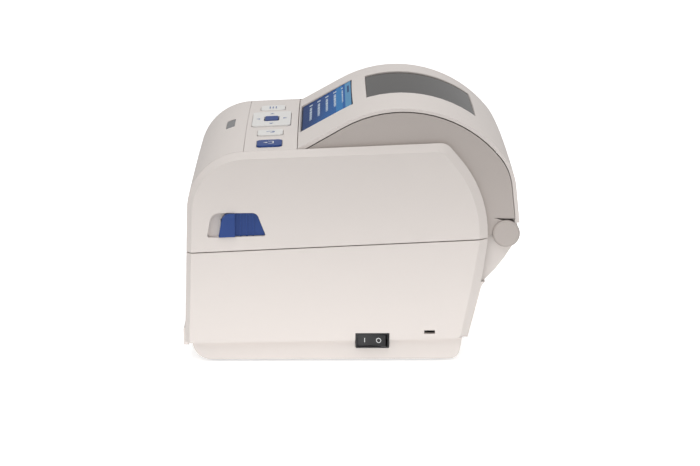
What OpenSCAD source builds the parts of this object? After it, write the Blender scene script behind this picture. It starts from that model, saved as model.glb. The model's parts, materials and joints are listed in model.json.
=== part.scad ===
/* [Printer body] */
// Width over the two side faces
body_w = 178; // [174:1:184]
// Length from the front lip to the rear of the hinge caps
body_l = 216.5; // [212:0.5:222]
// Height of the roll cover's crest above the table
body_h = 169; // [166:1:174]
// Thickness of the moulded shells
wall = 2.5; // [2:0.1:3]
// Depth of the bevelled rim round each side face
rim_depth = 4; // [3:0.5:5]
// Rise of the top surfaces from their edges to the middle
crown = 3; // [1:0.5:4]
// How far the roll cover's sides stand in from the rims
dome_inset = 3; // [2.6:0.2:4]
// Gap of the parting line between cover and base
parting_gap = 0.7; // [0.4:0.1:1]
// Gap between neighbouring mouldings
seam = 0.3; // [0.2:0.05:0.4]
// Thickness of the four rubber feet
foot_t = 1.6; // [1:0.1:2]
// Diameter of a rubber foot
foot_d = 12; // [8:1:16]

/* [Cover hinge] */
// Diameter of the steel hinge pins
hinge_pin_d = 6; // [4:0.5:7]
// Diameter of the round caps that show at the hinge
hinge_cap_d = 17.6; // [14:0.2:18]
// Thickness of a hinge cap
hinge_cap_t = 2.3; // [1.5:0.1:2.4]
// Diameter of the hinge knuckles and of the barrel across the back
knuckle_d = 17; // [14:0.5:17.4]
// Thickness of the cover's hinge lugs
lug_t = 2.7; // [2:0.1:2.9]
// Radial clearance of running shafts and pins
run_fit = 0.05; // [0.02:0.01:0.1]

/* [Label roll] */
// Clearance between the roll tub and the rear wall
tub_rear_gap = 0.78; // [0.5:0.02:2]
// Clearance between the roll tub and the motor
tub_motor_gap = 3.8; // [3:0.1:6]
// How far the tub's end walls stand in from the side faces
bay_inset = 25; // [24:0.5:27]
// Diameter of the holders' core hubs
hub_d = 24.4; // [20:0.2:30]
// Length of a core hub
hub_l = 6; // [4:0.5:8]
// Clearance between an open holder and the tub's end wall
holder_clear = 2.5; // [2:0.5:5]
// Thickness of a holder's arm
holder_t = 2.5; // [2:0.1:3]

/* [Print line] */
// Diameter of the rubber platen roller
platen_d = 14; // [12:0.5:15]
// How far the platen's ends stand in from the tub's end walls
platen_inset = 7.5; // [7:0.5:9]
// Diameter of the platen's steel shaft
platen_shaft_d = 6; // [5:0.5:7]
// Outer diameter of the platen's bearings
bush_d = 12; // [10:0.5:13]
// Height of the slot that the labels leave by
label_slot_h = 4.9; // [4.5:0.1:6]
// How far the ends of the label slot stand in from the tub's end walls
slot_inset = 8; // [5:0.5:10]
// Gap between the thermal head and the bare platen
head_gap = 0.3; // [0.2:0.05:0.5]

/* [Drive] */
// Pitch diameter per tooth of the drive gears and of the holders' rack
tooth_size = 1; // [0.9:0.05:1.05]
// Teeth on the platen's gear
platen_teeth = 18; // [17:1:19]
// Teeth on the idler gear
idler_teeth = 36; // [34:1:37]
// Teeth on the motor's pinion
motor_teeth = 14; // [14:1:15]
// Teeth on the holders' pinion
rack_teeth = 16; // [14:2:18]
// Face width of the drive gears
gear_w = 4; // [3:0.5:4]
// Side of the square stepping motor
motor_size = 35; // [28:1:35]
// Length of the stepping motor
motor_l = 26; // [20:1:30]
// Thickness of the steel drive and bearing plates
plate_t = 1.5; // [1:0.1:2]

/* [Latches] */
// Travel of a cover latch
latch_travel = 7; // [5:0.5:8]
// Depth of the latch recess below the side face
latch_recess = 4.7; // [4.2:0.1:4.8]
// How far the latch's grip stands out of the side face
latch_grip = 1.5; // [0.5:0.1:2]

/* [Keypad and display] */
// How far the keys stand above the bezel
key_rise = 0.7; // [0.4:0.1:1]
// Gap round each key
key_gap = 0.35; // [0.3:0.05:0.6]
// Travel of a pressed key
key_travel = 0.6; // [0.3:0.1:0.8]
// Width and length of the small keys
small_key = [16.5, 16.5];
// Width and length of the print key
print_key_size = [18, 16];
// Width and length of the four-way pad
nav_size = [46, 25.5];
// Width and length of the select key
select_size = [14, 8.7];
// Width and length of the display
display_size = [87.4, 39];
// Thickness of the display module behind its glass
display_t = 6; // [4:0.5:8]
// Width of the roll window
window_w = 78.6; // [60:0.2:90]
// Width and length of the status light's window
led_size = [26, 6];

/* [Rear and side fittings] */
// Length and height of the power rocker's opening
switch_size = [21.2, 10];
// Length and height of the security lock slot
lock_slot = [6.9, 2.4];
// Width, height and depth of the USB socket
usb_size = [12, 11, 12.5];
// Width, height and depth of the power inlet
inlet_size = [14, 11, 12.5];
// Diameter of the power inlet's opening
inlet_bore_d = 6.4; // [5.5:0.1:7]

/* [Hidden] */
$fn = 64;

// Overrun of every cut, and the slices that a hull joins
cut = 1;
slice = 0.05;

// Planes across the width
half_w = body_w / 2;
inner_x = half_w - rim_depth;
shell_x = inner_x - seam;
dome_x = inner_x - dome_inset;
lug_x = [dome_x - lug_t, dome_x];
bay_x = half_w - bay_inset;
platen_l = 2 * (bay_x - platen_inset);
label_slot_w = 2 * (bay_x - slot_inset);
frame_x = lug_x[0] - seam;

// Ranges centred on a place or on the middle
function span(c, w) = [c - w / 2, c + w / 2];
function pair(w) = span(0, w);

// A place on the body's side, from shares of its length and height
function at(s) = [(s[0] - 0.5) * body_l, s[1] * body_h];

// Side outlines, as shares of the length and height, each corner with its radius share
rim_shares = [
    [0.0044, 0.0805, 0.012], [0.0215, 0.8136, 0.225], [0.7794, 0.855, 0.053],
    [0.9042, 0.6651, 0.45], [0.9028, 0.4734, 0.148], [0.8861, 0.3195, 0.355],
    [0.8478, 0.0976, 0.03]
];
face_shares = [
    [0.0187, 0.0805, 0.006], [0.0372, 0.7905, 0.207], [0.7684, 0.8249, 0.041],
    [0.8788, 0.6479, 0.414], [0.8778, 0.4734, 0.148], [0.8584, 0.3195, 0.355],
    [0.8229, 0.097, 0.024]
];
dome_shares = [
    [0.3425, 0.6], [0.3425, 0.8296], [0.3499, 0.832], [0.5545, 0.9822, 0.47],
    [0.8351, 0.9822, 0.485], [0.9808, 0.7479, 0.225], [0.9979, 0.5414], [0.95, 0.5414]
];
plinth_shares = [[0.0261, 0.0828], [0.0293, 0, 0.071], [0.8206, 0, 0.041], [0.8316, 0.0947]];
back_shares = [
    [0.9808, 0.455], [0.9559, 0.403], [0.9291, 0.358], [0.8903, 0.3059, 0.03],
    [0.8861, 0.2959, 0.03], [0.8478, 0.0976], [0.8, 0.0976], [0.8, 0.47], [0.9, 0.5]
];
latch_shares = [
    [0.0751, 0.4953, 0.009], [0.0889, 0.5917, 0.036], [0.2224, 0.5917, 0.024],
    [0.2492, 0.5024, 0.006]
];
parting_shares = [[0, 0.4343], [0.9042, 0.487]];

// Places of the works, as shares of the length and height
hinge_share = [0.9582, 0.5012];
platen_share = 0.3964;
bezel_share = [0.1845, 0.3416];
window_angle = [54.6, 105.7];
catch_share = [0.1859, 0.3787];
switch_share = [0.5629, 0.088];
lock_share = [0.7331, 0.1231];
rail_share = 0.195;
front_lip_shares = [0.068, 0.1385];
foot_shares = [0.117, 0.754];
boss_shares = [0.107, 0.675];
swell_shares = [0.6, 0.78];
board_share = 0.56;
boss_seat_share = 0.1;
boss_top_share = 0.16;
frame_front_share = 0.2413;
heel_share = [0.11, 0.12];
wall_shares = [[0.82, 0.09], [0.92, 0.315]];
shelf_shares = [[0.86, 0.25], [1, 0.5]];
beam_shares = [[0.2783, 0.5503], [0.2783, 0.568]];
beam_reach_share = 0.3933;
head_pivot_share = [0.17667, 0.50888];
shank_shares = [[0.149, 0.5266], [0.2044, 0.5621]];
spring_share = [0.0797, 0.5503];
hook_shares = [0.1305, 0.2229];
menu_share = -0.236;
back_share = 0.2303;
print_share = 0.382;
board_shares = [-0.3202, 0.4551];
usb_share = 0.17978;
inlet_share = -0.16854;

hinge_at = at(hinge_share);
ledge_l = 4.5;
tear_t = 1.2;
tear_gap = 1.82;
panel_z = [front_lip_shares[0] * body_h, parting_z(-body_l / 2) - parting_gap / 2];
panel_top_y = front_face_y(panel_z[1]);
platen_at = [panel_top_y + ledge_l + tear_t + tear_gap + platen_d / 2, at([0, platen_share])[1]];
catch_at = at(catch_share);
front_y = -body_l / 2;

// Curves and outlines
function unit(v) = v / norm(v);
function polar(d, r) = [r * cos(d), r * sin(d)];
function arc(c, r, from, to, n = 24) = [for (i = [0 : n]) c + polar(from + (to - from) * i / n, r)];
function corner(a, b, c, r) =
    let (u = unit(a - b), v = unit(c - b), half = acos(u * v) / 2, reach = r / tan(half),
         m = b + unit(u + v) * r / sin(half), p = b + u * reach - m, q = b + v * reach - m,
         from = atan2(p[1], p[0]), turn = (atan2(q[1], q[0]) - from + 3 * 180) % 360 - 180,
         n = ceil(abs(turn) / 5))
    [for (i = [0 : n]) m + polar(from + turn * i / n, r)];
function xy(p) = [p[0], p[1]];
function radius(c) = len(c) > 2 ? c[2] : 0;
function reach(a, b, c) = radius(b) / tan(acos(unit(xy(a) - xy(b)) * unit(xy(c) - xy(b))) / 2);
function ease(reaches, edge) = reaches > edge ? edge / reaches : 1;

// Corner radii, eased where two neighbours need more than the edge between them
function fitted(c) =
    let (n = len(c), edges = [for (i = [0 : n - 1]) norm(xy(c[(i + 1) % n]) - xy(c[i]))],
         reaches = [for (i = [0 : n - 1]) reach(c[(i + n - 1) % n], c[i], c[(i + 1) % n])])
    [for (i = [0 : n - 1])
        let (before = (i + n - 1) % n, after = (i + 1) % n)
        radius(c[i]) * min(ease(reaches[i] + reaches[before], edges[before]),
                           ease(reaches[i] + reaches[after], edges[i]))];
function rounded(c) =
    let (n = len(c), radii = fitted(c))
    [for (i = [0 : n - 1])
        let (a = xy(c[(i + n - 1) % n]), b = xy(c[i]), d = xy(c[(i + 1) % n]))
        each (radii[i] > 0 ? corner(a, b, d, radii[i]) : [b])];
function corners(shares) = [
    for (s = shares) [at(s)[0], at(s)[1], (len(s) > 2 ? s[2] : 0) * body_h]
];
function outline(shares) = rounded(corners(shares));
function corner_centre(a, b, c, r) =
    let (u = unit(a - b), v = unit(c - b)) b + unit(u + v) * r / sin(acos(u * v) / 2);
function plinth() = rounded([
    for (s = plinth_shares)
        [at(s)[0], max(foot_t, at(s)[1]), (len(s) > 2 ? s[2] : 0) * body_h]
]);
function between(a, b, t) = a + (b - a) * t;
function on_line(p, q, y) = p[1] + (q[1] - p[1]) * (y - p[0]) / (q[0] - p[0]);
function parting_z(y) = on_line(at(parting_shares[0]), at(parting_shares[1]), y);
function front_face_y(z) =
    let (p = at(rim_shares[0]), q = at(rim_shares[1])) between(p[0], q[0], (z - p[1]) / (q[1] - p[1]));
function deck_z(y) = on_line(at(rim_shares[1]), at(rim_shares[2]), y);
deck_tilt = atan2(deck_z(body_l) - deck_z(0), body_l);
function crown_at(x) = crown * (1 - pow(x / shell_x, 2));

// Extrusion across the width of an outline drawn on length and height
module across(from, to) translate([from, 0, 0]) rotate([90, 0, 90]) linear_extrude(to - from) children();
module block(x, y, z) translate([x[0], y[0], z[0]]) cube([x[1] - x[0], y[1] - y[0], z[1] - z[0]]);
module rod(from, to, p, d) translate([from, p[0], p[1]]) rotate([0, 90, 0]) cylinder(h = to - from, d = d);
module sided(s) {
    if (s < 0) mirror([1, 0, 0]) children();
    else children();
}
module both() {
    for (s = [-1, 1]) sided(s) children();
}

// A solid whose top swells from its edges to the middle of the width
crown_shares = [-1, -0.75, -0.5, -0.25, 0, 0.25, 0.5, 0.75, 1];
swell_z = swell_shares * body_h;
function swell(z, band) = min(1, max(0, (z - band[0]) / (band[1] - band[0])));
module crowned(points, reach, band, inset = 0) {
    hull()
        for (s = crown_shares)
            across(s * (reach - slice) - slice, s * (reach - slice) + slice)
                offset(delta = -inset) polygon([
                    for (p = points) [p[0], p[1] + crown_at(s * shell_x) * swell(p[1], band)]
                ]);
}

// A rounded plate in plan, from its width, length and corner radius
module pad(size, r, h) {
    linear_extrude(h)
        polygon(rounded([
            [-size[0] / 2, -size[1] / 2, r], [size[0] / 2, -size[1] / 2, r],
            [size[0] / 2, size[1] / 2, r], [-size[0] / 2, size[1] / 2, r]
        ]));
}

// Involute gears: pitch radius is half the module times the teeth
pressure_angle = 20;
tooth_slack_share = 0.92;
addendum_share = 0.8;
dedendum_share = 1.1;
function involute(a) = tan(a) * 180 / PI - a;
function half_tooth(rho, t) =
    let (base = tooth_size * t / 2 * cos(pressure_angle))
    90 / t * tooth_slack_share + involute(pressure_angle) - involute(acos(min(1, base / max(rho, base))));
function gear_points(t, phase) =
    let (root = tooth_size * (t / 2 - dedendum_share), tip = tooth_size * (t / 2 + addendum_share),
         radii = [for (i = [0 : 5]) between(root, tip, i / 5)])
    [for (k = [0 : t - 1], i = [0 : 11])
        let (rho = i < 6 ? radii[i] : radii[11 - i], side = i < 6 ? -1 : 1)
        polar(phase + 360 * k / t + side * half_tooth(rho, t), rho)];
module gear(t, phase, p, from, bore_d) {
    difference() {
        across(from, from + gear_w) translate(p) polygon(gear_points(t, phase));
        rod(from - cut, from + gear_w + cut, p, bore_d);
    }
}

// The drive train runs in one plane beside the left plate
plate_x = bay_x - 2 * plate_t;
gear_side_gap = 2.5;
gear_x = -(plate_x + plate_t + gear_w + gear_side_gap);
idler_angle = -65;
motor_lift = 10;
motor_z = foot_t + wall + motor_lift + motor_size / 2;
motor_reach = tooth_size * (idler_teeth + motor_teeth) / 2;
idler_at = platen_at + polar(idler_angle, tooth_size * (platen_teeth + idler_teeth) / 2);
motor_angle = -asin((idler_at[1] - motor_z) / motor_reach);
motor_at = idler_at + polar(motor_angle, motor_reach);
function meshed(from_angle, t_from, t_to) =
    let (off = from_angle - round(from_angle / (360 / t_from)) * (360 / t_from))
    from_angle + 180 + off * t_from / t_to + 180 / t_to;
platen_phase = meshed(idler_angle + 180, idler_teeth, platen_teeth);
motor_phase = meshed(motor_angle, idler_teeth, motor_teeth);
idler_stud_d = 5;
stud_head_share = 1.6;
motor_shaft_d = 5;

// A coil spring along +Z with flat-cut ends, as one tube
spring_steps = 10;
spring_sides = 6;
function spring_point(r, l, turns, i, j, wire) =
    let (a = 360 * i / spring_steps, b = 360 * j / spring_sides, rho = r + wire / 2 * cos(b))
    [rho * cos(a), rho * sin(a), wire / 2 + (l - wire) * i / (turns * spring_steps) + wire / 2 * sin(b)];
module coil(r, l, turns, wire) {
    last = turns * spring_steps;
    polyhedron(
        points = [for (i = [0 : last], j = [0 : spring_sides - 1]) spring_point(r, l, turns, i, j, wire)],
        faces = [
            [for (j = [0 : spring_sides - 1]) j],
            for (i = [0 : last - 1], j = [0 : spring_sides - 1])
                let (a = i * spring_sides + j, b = i * spring_sides + (j + 1) % spring_sides)
                each [[a, a + spring_sides, b], [b, a + spring_sides, b + spring_sides]],
            [for (j = [spring_sides - 1 : -1 : 0]) last * spring_sides + j]
        ]);
}

// Colours
light = [0.86, 0.84, 0.82];
grey = [0.69, 0.66, 0.64];
pale = [0.93, 0.92, 0.9];
blue = [0.16, 0.27, 0.52];
dark = [0.12, 0.12, 0.13];
steel = [0.7, 0.71, 0.73];
white = [0.9, 0.9, 0.88];

// Side faces with their bevelled rims, whole height, on the +X side
module wing_block() {
    hull() {
        across(inner_x, inner_x + slice) polygon(outline(rim_shares));
        across(half_w - slice, half_w) polygon(outline(face_shares));
    }
}
far = 2 * body_l;
module below_parting() {
    across(-far, far) polygon([
        [-far, -far], [-far, parting_z(-far) - parting_gap / 2],
        [far, parting_z(far) - parting_gap / 2], [far, -far]
    ]);
}
module above_parting() {
    across(-far, far) polygon([
        [-far, far], [-far, parting_z(-far) + parting_gap / 2],
        [far, parting_z(far) + parting_gap / 2], [far, far]
    ]);
}

// Fittings that pass through the housing
switch_at = at(switch_share);
switch_play = 0.4;
switch_y = [switch_at[0] - switch_size[0] / 2, switch_at[0] + switch_size[0] / 2];
switch_z = [switch_at[1] - switch_size[1] / 2, switch_at[1] + switch_size[1] / 2];
module switch_cut() {
    block([dome_x - wall, half_w + cut], [switch_y[0] - switch_play, switch_y[1] + switch_play],
          [switch_z[0] - switch_play, switch_z[1] + switch_play]);
}
lock_at = at(lock_share);
module lock_cut(from) {
    across(from, half_w + cut) translate(lock_at) square(lock_slot, center = true);
}

// Rear wall: its lower part leans, and the sockets sit square to it
rear_top = at(back_shares[4]);
rear_foot = at(back_shares[5]);
rear_lean = atan2(rear_top[0] - rear_foot[0], rear_top[1] - rear_foot[1]);
socket_share = 0.2;
socket_at = between(rear_foot, rear_top, socket_share);
usb_x = usb_share * body_w;
inlet_x = inlet_share * body_w;
module at_rear(x) translate([x, socket_at[0], socket_at[1]]) rotate([-rear_lean, 0, 0]) children();

// Screw bosses that join chassis and housing
screw_d = 3;
screw_head_d = 6;
screw_head_t = 1.6;
boss_d = 9;
boss_x = inner_x - boss_d / 2;
chassis_floor = foot_t + wall;
boss_ys = [for (s = boss_shares) at([s, 0])[0]];
boss_seat = boss_seat_share * body_h;
boss_top = boss_top_share * body_h;
module each_boss() {
    for (y = boss_ys) both() translate([boss_x, y, 0]) children();
}

// Standoffs that the controller board stands on
board_size = [76, 88];
board_t = 1.6;
board_z = 8;
board_y = at([board_share, 0])[0];
standoff_d = 6;
module each_standoff() {
    for (sx = [-1, 1], sy = [-1, 1])
        translate([sx * (board_size[0] / 2 - standoff_d), board_y + sy * (board_size[1] / 2 - standoff_d), 0])
            children();
}

// Cross brace of the housing, behind the front panel
brace_t = 1.5;
brace_shares = [0.12, 0.33];
brace_gap = 0.4;
brace_z = brace_shares * body_h;
brace_front = front_face_y(brace_z[1]) + wall + brace_gap;
brace_y = [brace_front, brace_front + brace_t];
knuckle_l = 10;

module base_chassis() {
    color(light) difference() {
        union() {
            difference() {
                across(-shell_x, shell_x) polygon(plinth());
                across(wall - shell_x, shell_x - wall)
                    for (k = [0 : 2]) translate([0, k * wall]) offset(delta = -wall) polygon(plinth());
            }
            each_boss() translate([0, 0, foot_t + wall / 2])
                cylinder(h = boss_seat - foot_t - wall / 2 - seam, d = boss_d - 2 * seam);
            each_standoff() translate([0, 0, foot_t + wall / 2])
                cylinder(h = board_z - foot_t - wall / 2, d = standoff_d);
        }
        each_boss() {
            translate([0, 0, -cut]) cylinder(h = boss_seat + 2 * cut, d = screw_d + 2 * run_fit);
            translate([0, 0, -cut]) cylinder(h = foot_t + screw_head_t + cut, d = screw_head_d + seam);
        }
        switch_cut();
    }
}

module chassis_screws() {
    color(steel) each_boss() translate([0, 0, foot_t]) {
        cylinder(h = screw_head_t, d = screw_head_d);
        cylinder(h = boss_top - wall - foot_t, d = screw_d);
    }
}

module window(shares) translate(at(shares[0])) square(at(shares[1]) - at(shares[0]));
module base_housing() {
    back = outline(back_shares);
    color(light) difference() {
        union() {
            both() intersection() {
                wing_block();
                below_parting();
            }
            across(-inner_x - slice, inner_x + slice) intersection() {
                difference() {
                    polygon(back);
                    translate([-wall, 0]) polygon(back);
                }
                window(wall_shares);
            }
            across(-frame_x, frame_x) intersection() {
                difference() {
                    polygon(back);
                    translate([-wall, wall / 2]) polygon(back);
                }
                window(shelf_shares);
            }
            both() across(frame_x - wall, frame_x) intersection() {
                polygon(back);
                window(shelf_shares);
            }
            rod(-frame_x, frame_x, hinge_at, knuckle_d);
            each_boss() translate([0, 0, boss_seat]) {
                cylinder(h = boss_top - boss_seat, d = boss_d);
                translate([0, -boss_d / 2, 0]) cube([boss_d / 2 + slice, boss_d, boss_top - boss_seat]);
            }
            block([-inner_x - slice, inner_x + slice], brace_y, brace_z);
        }
        rod(-half_w, half_w, hinge_at, hinge_pin_d);
        rod(knuckle_l - frame_x, frame_x - knuckle_l, hinge_at, knuckle_d - 2 * wall);
        each_boss() translate([0, 0, -cut]) cylinder(h = boss_top - wall + cut, d = screw_d);
        lock_cut(inner_x - cut);
        switch_cut();
        socket_cut(usb_x, usb_size);
        socket_cut(inlet_x, inlet_size);
    }
}

// Front panel with the lip along its foot and the ledge under the tear bar
module front_panel() {
    lip_z = front_lip_shares[1] * body_h;
    foot_y = front_face_y(panel_z[0]);
    color(light) across(-shell_x, shell_x) {
        polygon([
            [foot_y, panel_z[0]], [panel_top_y, panel_z[1]], [panel_top_y + ledge_l, panel_z[1]],
            [panel_top_y + ledge_l, panel_z[1] - wall], [panel_top_y + wall, panel_z[1] - wall],
            [foot_y + wall, panel_z[0]]
        ]);
        polygon([
            [front_y, panel_z[0]], [front_y, lip_z - wall / 2], [front_face_y(lip_z) + slice, lip_z],
            [foot_y + wall / 2, panel_z[0]]
        ]);
    }
}

// Steel tear bar on the ledge, its edge just below the platen's top
tear_h = 8;
tear_below = 0.1;
platen_top = platen_at[1] + platen_d / 2;
tear_top = platen_top - tear_below;
module tear_bar() {
    y = panel_top_y + ledge_l;
    color(steel) across(-platen_l / 2, platen_l / 2)
        polygon([
            [y, tear_top - tear_h], [y, tear_top - tear_t], [y + tear_t, tear_top], [y + tear_t, tear_top - tear_h]
        ]);
}

// Radius of the circle on the line z = floor_z that passes below two points
function fit_radius(p, q, floor_z) =
    let (a = p[1] - floor_z, b = q[1] - floor_z, k = pow(p[0] - q[0], 2) + a * a + b * b,
         m = k + 2 * a * b, n = k - 2 * a * b)
    m / (a + b + sqrt(pow(a + b, 2) - pow(a - b, 2) * m / n)) / 2;

// Roll tub, as large as motor and rear wall allow, and the deck that leads the labels to the platen
tub_t = 1.5;
tub_lift = 17.5;
tub_rear = rear_top - [tub_rear_gap + wall, 0];
tub_front = motor_at + [motor_size / 2 + tub_motor_gap, motor_size / 2];
tub_foot = tub_lift - tub_t;
tub_outer = fit_radius(tub_rear, tub_front, tub_foot);
tub_r = tub_outer - tub_t;
tub_reach = sqrt(pow(tub_outer, 2) - pow(tub_foot + tub_outer - tub_front[1], 2));
tub_at = [tub_front[0] + tub_reach, tub_lift + tub_r];
roll_shift = [2, 9];
roll_at = tub_at + roll_shift;
media_z = platen_top - 2 * tear_t + tear_below;
deck_t = 1.6;
deck_gap = 1;
deck_front_y = platen_at[0] + platen_d / 2 + deck_gap;
tub_front_angle = 180 + asin((tub_at[1] - media_z) / (tub_r + tub_t));
tub_rear_angle = 354;
tub_leg = [6, 24];
tub_leg_gap = 6;
tub_leg_x = board_size[0] / 2 + tub_leg_gap;
rail_d = 3;
rail_drop = 8;
rail_at = [at([rail_share, 0])[0], media_z - rail_drop];
sensor_size = [10, 7.2, 11.7];
sensor_end = 23;
sensor_travel = plate_x - sensor_end;
sensor_gap = 0.5;
skirt_l = 22;
module media_bay() {
    outer = tub_r + tub_t;
    tub_front_y = tub_at[0] + outer * cos(tub_front_angle);
    color(grey) difference() {
        union() {
            across(-bay_x - tub_t, bay_x + tub_t) polygon(concat(
                arc(tub_at, outer, tub_front_angle, tub_rear_angle),
                arc(tub_at, tub_r, tub_rear_angle, tub_front_angle)));
            both() across(bay_x, bay_x + tub_t) polygon(arc(tub_at, outer, tub_front_angle, tub_rear_angle));
            block([-plate_x, plate_x], [deck_front_y, tub_front_y + tub_t / 2], [media_z - deck_t, media_z]);
            both() block([plate_x - tub_t, plate_x], span(rail_at[0], skirt_l),
                         [rail_at[1] - rail_d, media_z - deck_t / 2]);
            both() block([tub_leg_x, tub_leg_x + tub_leg[0]], span(tub_at[0], tub_leg[1]),
                         [foot_t + wall + seam, tub_at[1] - tub_r - seam]);
        }
        block(pair(2 * sensor_travel + sensor_size[0] + 4 * sensor_gap),
              span(rail_at[0], sensor_size[1] + 2 * sensor_gap), [media_z - deck_t - cut, media_z + cut]);
        rod(-bay_x, bay_x, rail_at, rail_d);
    }
}
module sensor_rail() {
    color(steel) rod(-plate_x, plate_x, rail_at, rail_d);
}
module media_sensor() {
    color(dark) difference() {
        block(pair(sensor_size[0]), span(rail_at[0], sensor_size[1]),
              [media_z + seam - sensor_size[2], media_z + seam]);
        rod(-sensor_size[0], sensor_size[0], rail_at, rail_d + 2 * run_fit);
    }
}

// Steel plates that carry the platen, the idler and the motor
plate_foot = foot_t + wall + seam;
plate_front = panel_top_y + 2 * wall;
plate_back = motor_at[0] + motor_size / 2 + plate_t;
plate_heel = at(heel_share);
module drive_plate() {
    color(steel) {
        difference() {
            across(-plate_x - plate_t, -plate_x) polygon([
                [plate_heel[0], plate_foot], [plate_front, plate_heel[1]], [plate_front, media_z],
                [deck_front_y + deck_gap, media_z],
                [rail_at[0] - skirt_l / 2, rail_at[1] - 2 * rail_d],
                [plate_back, motor_at[1] + motor_size / 2 + plate_t], [plate_back, plate_foot]
            ]);
            rod(-bay_x, 0, platen_at, bush_d);
            rod(-bay_x, 0, motor_at, motor_size / 3);
        }
        rod(gear_x - gear_side_gap / 2, -plate_x - plate_t / 2, idler_at, idler_stud_d);
        rod(gear_x - gear_side_gap / 2, gear_x - seam, idler_at, idler_stud_d * stud_head_share);
    }
}
module bearing_plate() {
    color(steel) difference() {
        across(plate_x, plate_x + plate_t) polygon([
            [plate_heel[0], plate_foot], [plate_front, plate_heel[1]], [plate_front, media_z],
                [deck_front_y + deck_gap, media_z],
            [rail_at[0] - skirt_l / 2, rail_at[1] - 2 * rail_d],
            [rail_at[0] - skirt_l / 2, plate_foot]
        ]);
        rod(0, bay_x, platen_at, bush_d);
    }
}
bush_flange = 1.5;
module platen_bushes() {
    color(dark) both() difference() {
        union() {
            rod(plate_x - plate_t / 2, plate_x + 2 * plate_t, platen_at, bush_d);
            rod(plate_x + plate_t, plate_x + plate_t + bush_flange, platen_at, bush_d + 2 * bush_flange);
        }
        rod(0, bay_x + wall, platen_at, platen_shaft_d + 2 * run_fit);
    }
}
module platen_roller() {
    color(dark) difference() {
        rod(-platen_l / 2, platen_l / 2, platen_at, platen_d);
        rod(-platen_l, platen_l, platen_at, platen_shaft_d);
    }
}
module platen_shaft() {
    color(steel) rod(gear_x - gear_side_gap / 2, bay_x + tub_t, platen_at, platen_shaft_d);
}
module platen_gear() {
    color(white) gear(platen_teeth, platen_phase, platen_at, gear_x, platen_shaft_d);
}
module idler_gear() {
    color(white) gear(idler_teeth, 0, idler_at, gear_x, idler_stud_d + 2 * run_fit);
}
module motor_pinion() {
    color(white) gear(motor_teeth, motor_phase, motor_at, gear_x, motor_shaft_d);
}
module motor_shaft() {
    color(steel) rod(gear_x - gear_side_gap / 2, motor_l / 2 - plate_x, motor_at, motor_shaft_d);
}
module motor_body() {
    c = motor_size / 8;
    h = motor_size / 2;
    color(dark) difference() {
        across(-plate_x, motor_l - plate_x) translate(motor_at)
            polygon([
                [c - h, -h], [h - c, -h], [h, c - h], [h, h - c], [h - c, h], [c - h, h], [-h, h - c], [-h, c - h]
            ]);
        rod(-plate_x - cut, 2 * motor_l / 3 - plate_x, motor_at, motor_shaft_d + 2 * run_fit);
    }
}

// Controller board with its main parts
chip_shares = [
    [0, 0.1, 0.26, 0.22], [-0.3, -0.25, 0.2, 0.3], [0.28, -0.2, 0.16, 0.16], [0.25, 0.3, 0.3, 0.12]
];
chip_h = 3;
module controller_board() {
    color([0.1, 0.35, 0.2]) translate([0, board_y, board_z]) {
        translate([-board_size[0] / 2, -board_size[1] / 2, 0]) cube([board_size[0], board_size[1], board_t]);
        for (c = chip_shares)
            translate([(c[0] - c[2] / 2) * board_size[0], (c[1] - c[3] / 2) * board_size[1], board_t / 2])
                cube([c[2] * board_size[0], c[3] * board_size[1], chip_h]);
    }
}

// Sockets in the leaning rear wall: local Y points out of the back
socket_gap = 0.2;
socket_proud = 0.4;
socket_skin = 1.6;
usb_open_share = 0.6;
inlet_open_share = 0.7;
inlet_pin_share = 0.8;
module socket_cut(x, size) {
    at_rear(x) block(pair(size[0] + 2 * socket_gap), pair(2 * size[2]), pair(size[1] + 2 * socket_gap));
}
module usb_socket() {
    color(steel) at_rear(usb_x) difference() {
        block(pair(usb_size[0]), [socket_proud - usb_size[2], socket_proud], pair(usb_size[1]));
        difference() {
            block(pair(usb_size[0] - 2 * socket_skin), [socket_proud - usb_size[2] * usb_open_share, cut],
                  pair(usb_size[1] - 2 * socket_skin));
            block(pair(usb_size[0] / 2), [-usb_size[2], -socket_skin], pair(usb_size[1] / 4));
        }
    }
}
module power_inlet() {
    color(dark) at_rear(inlet_x) {
        difference() {
            block(pair(inlet_size[0]), [socket_proud - inlet_size[2], socket_proud], pair(inlet_size[1]));
            rotate([90, 0, 0]) translate([0, 0, -cut])
                cylinder(h = inlet_size[2] * inlet_open_share + cut, d = inlet_bore_d);
        }
        rotate([90, 0, 0]) translate([0, 0, socket_skin])
            cylinder(h = inlet_size[2] * inlet_pin_share - socket_skin, d = inlet_bore_d / 3);
    }
}

// Lock plate behind the lock slot
lock_plate_t = 1.6;
module lock_plate() {
    color(steel) difference() {
        across(inner_x - lock_plate_t, inner_x) translate(lock_at)
            square([2 * lock_slot[0], 3 * lock_slot[1]], center = true);
        lock_cut(inner_x - lock_plate_t - cut);
    }
}

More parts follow.
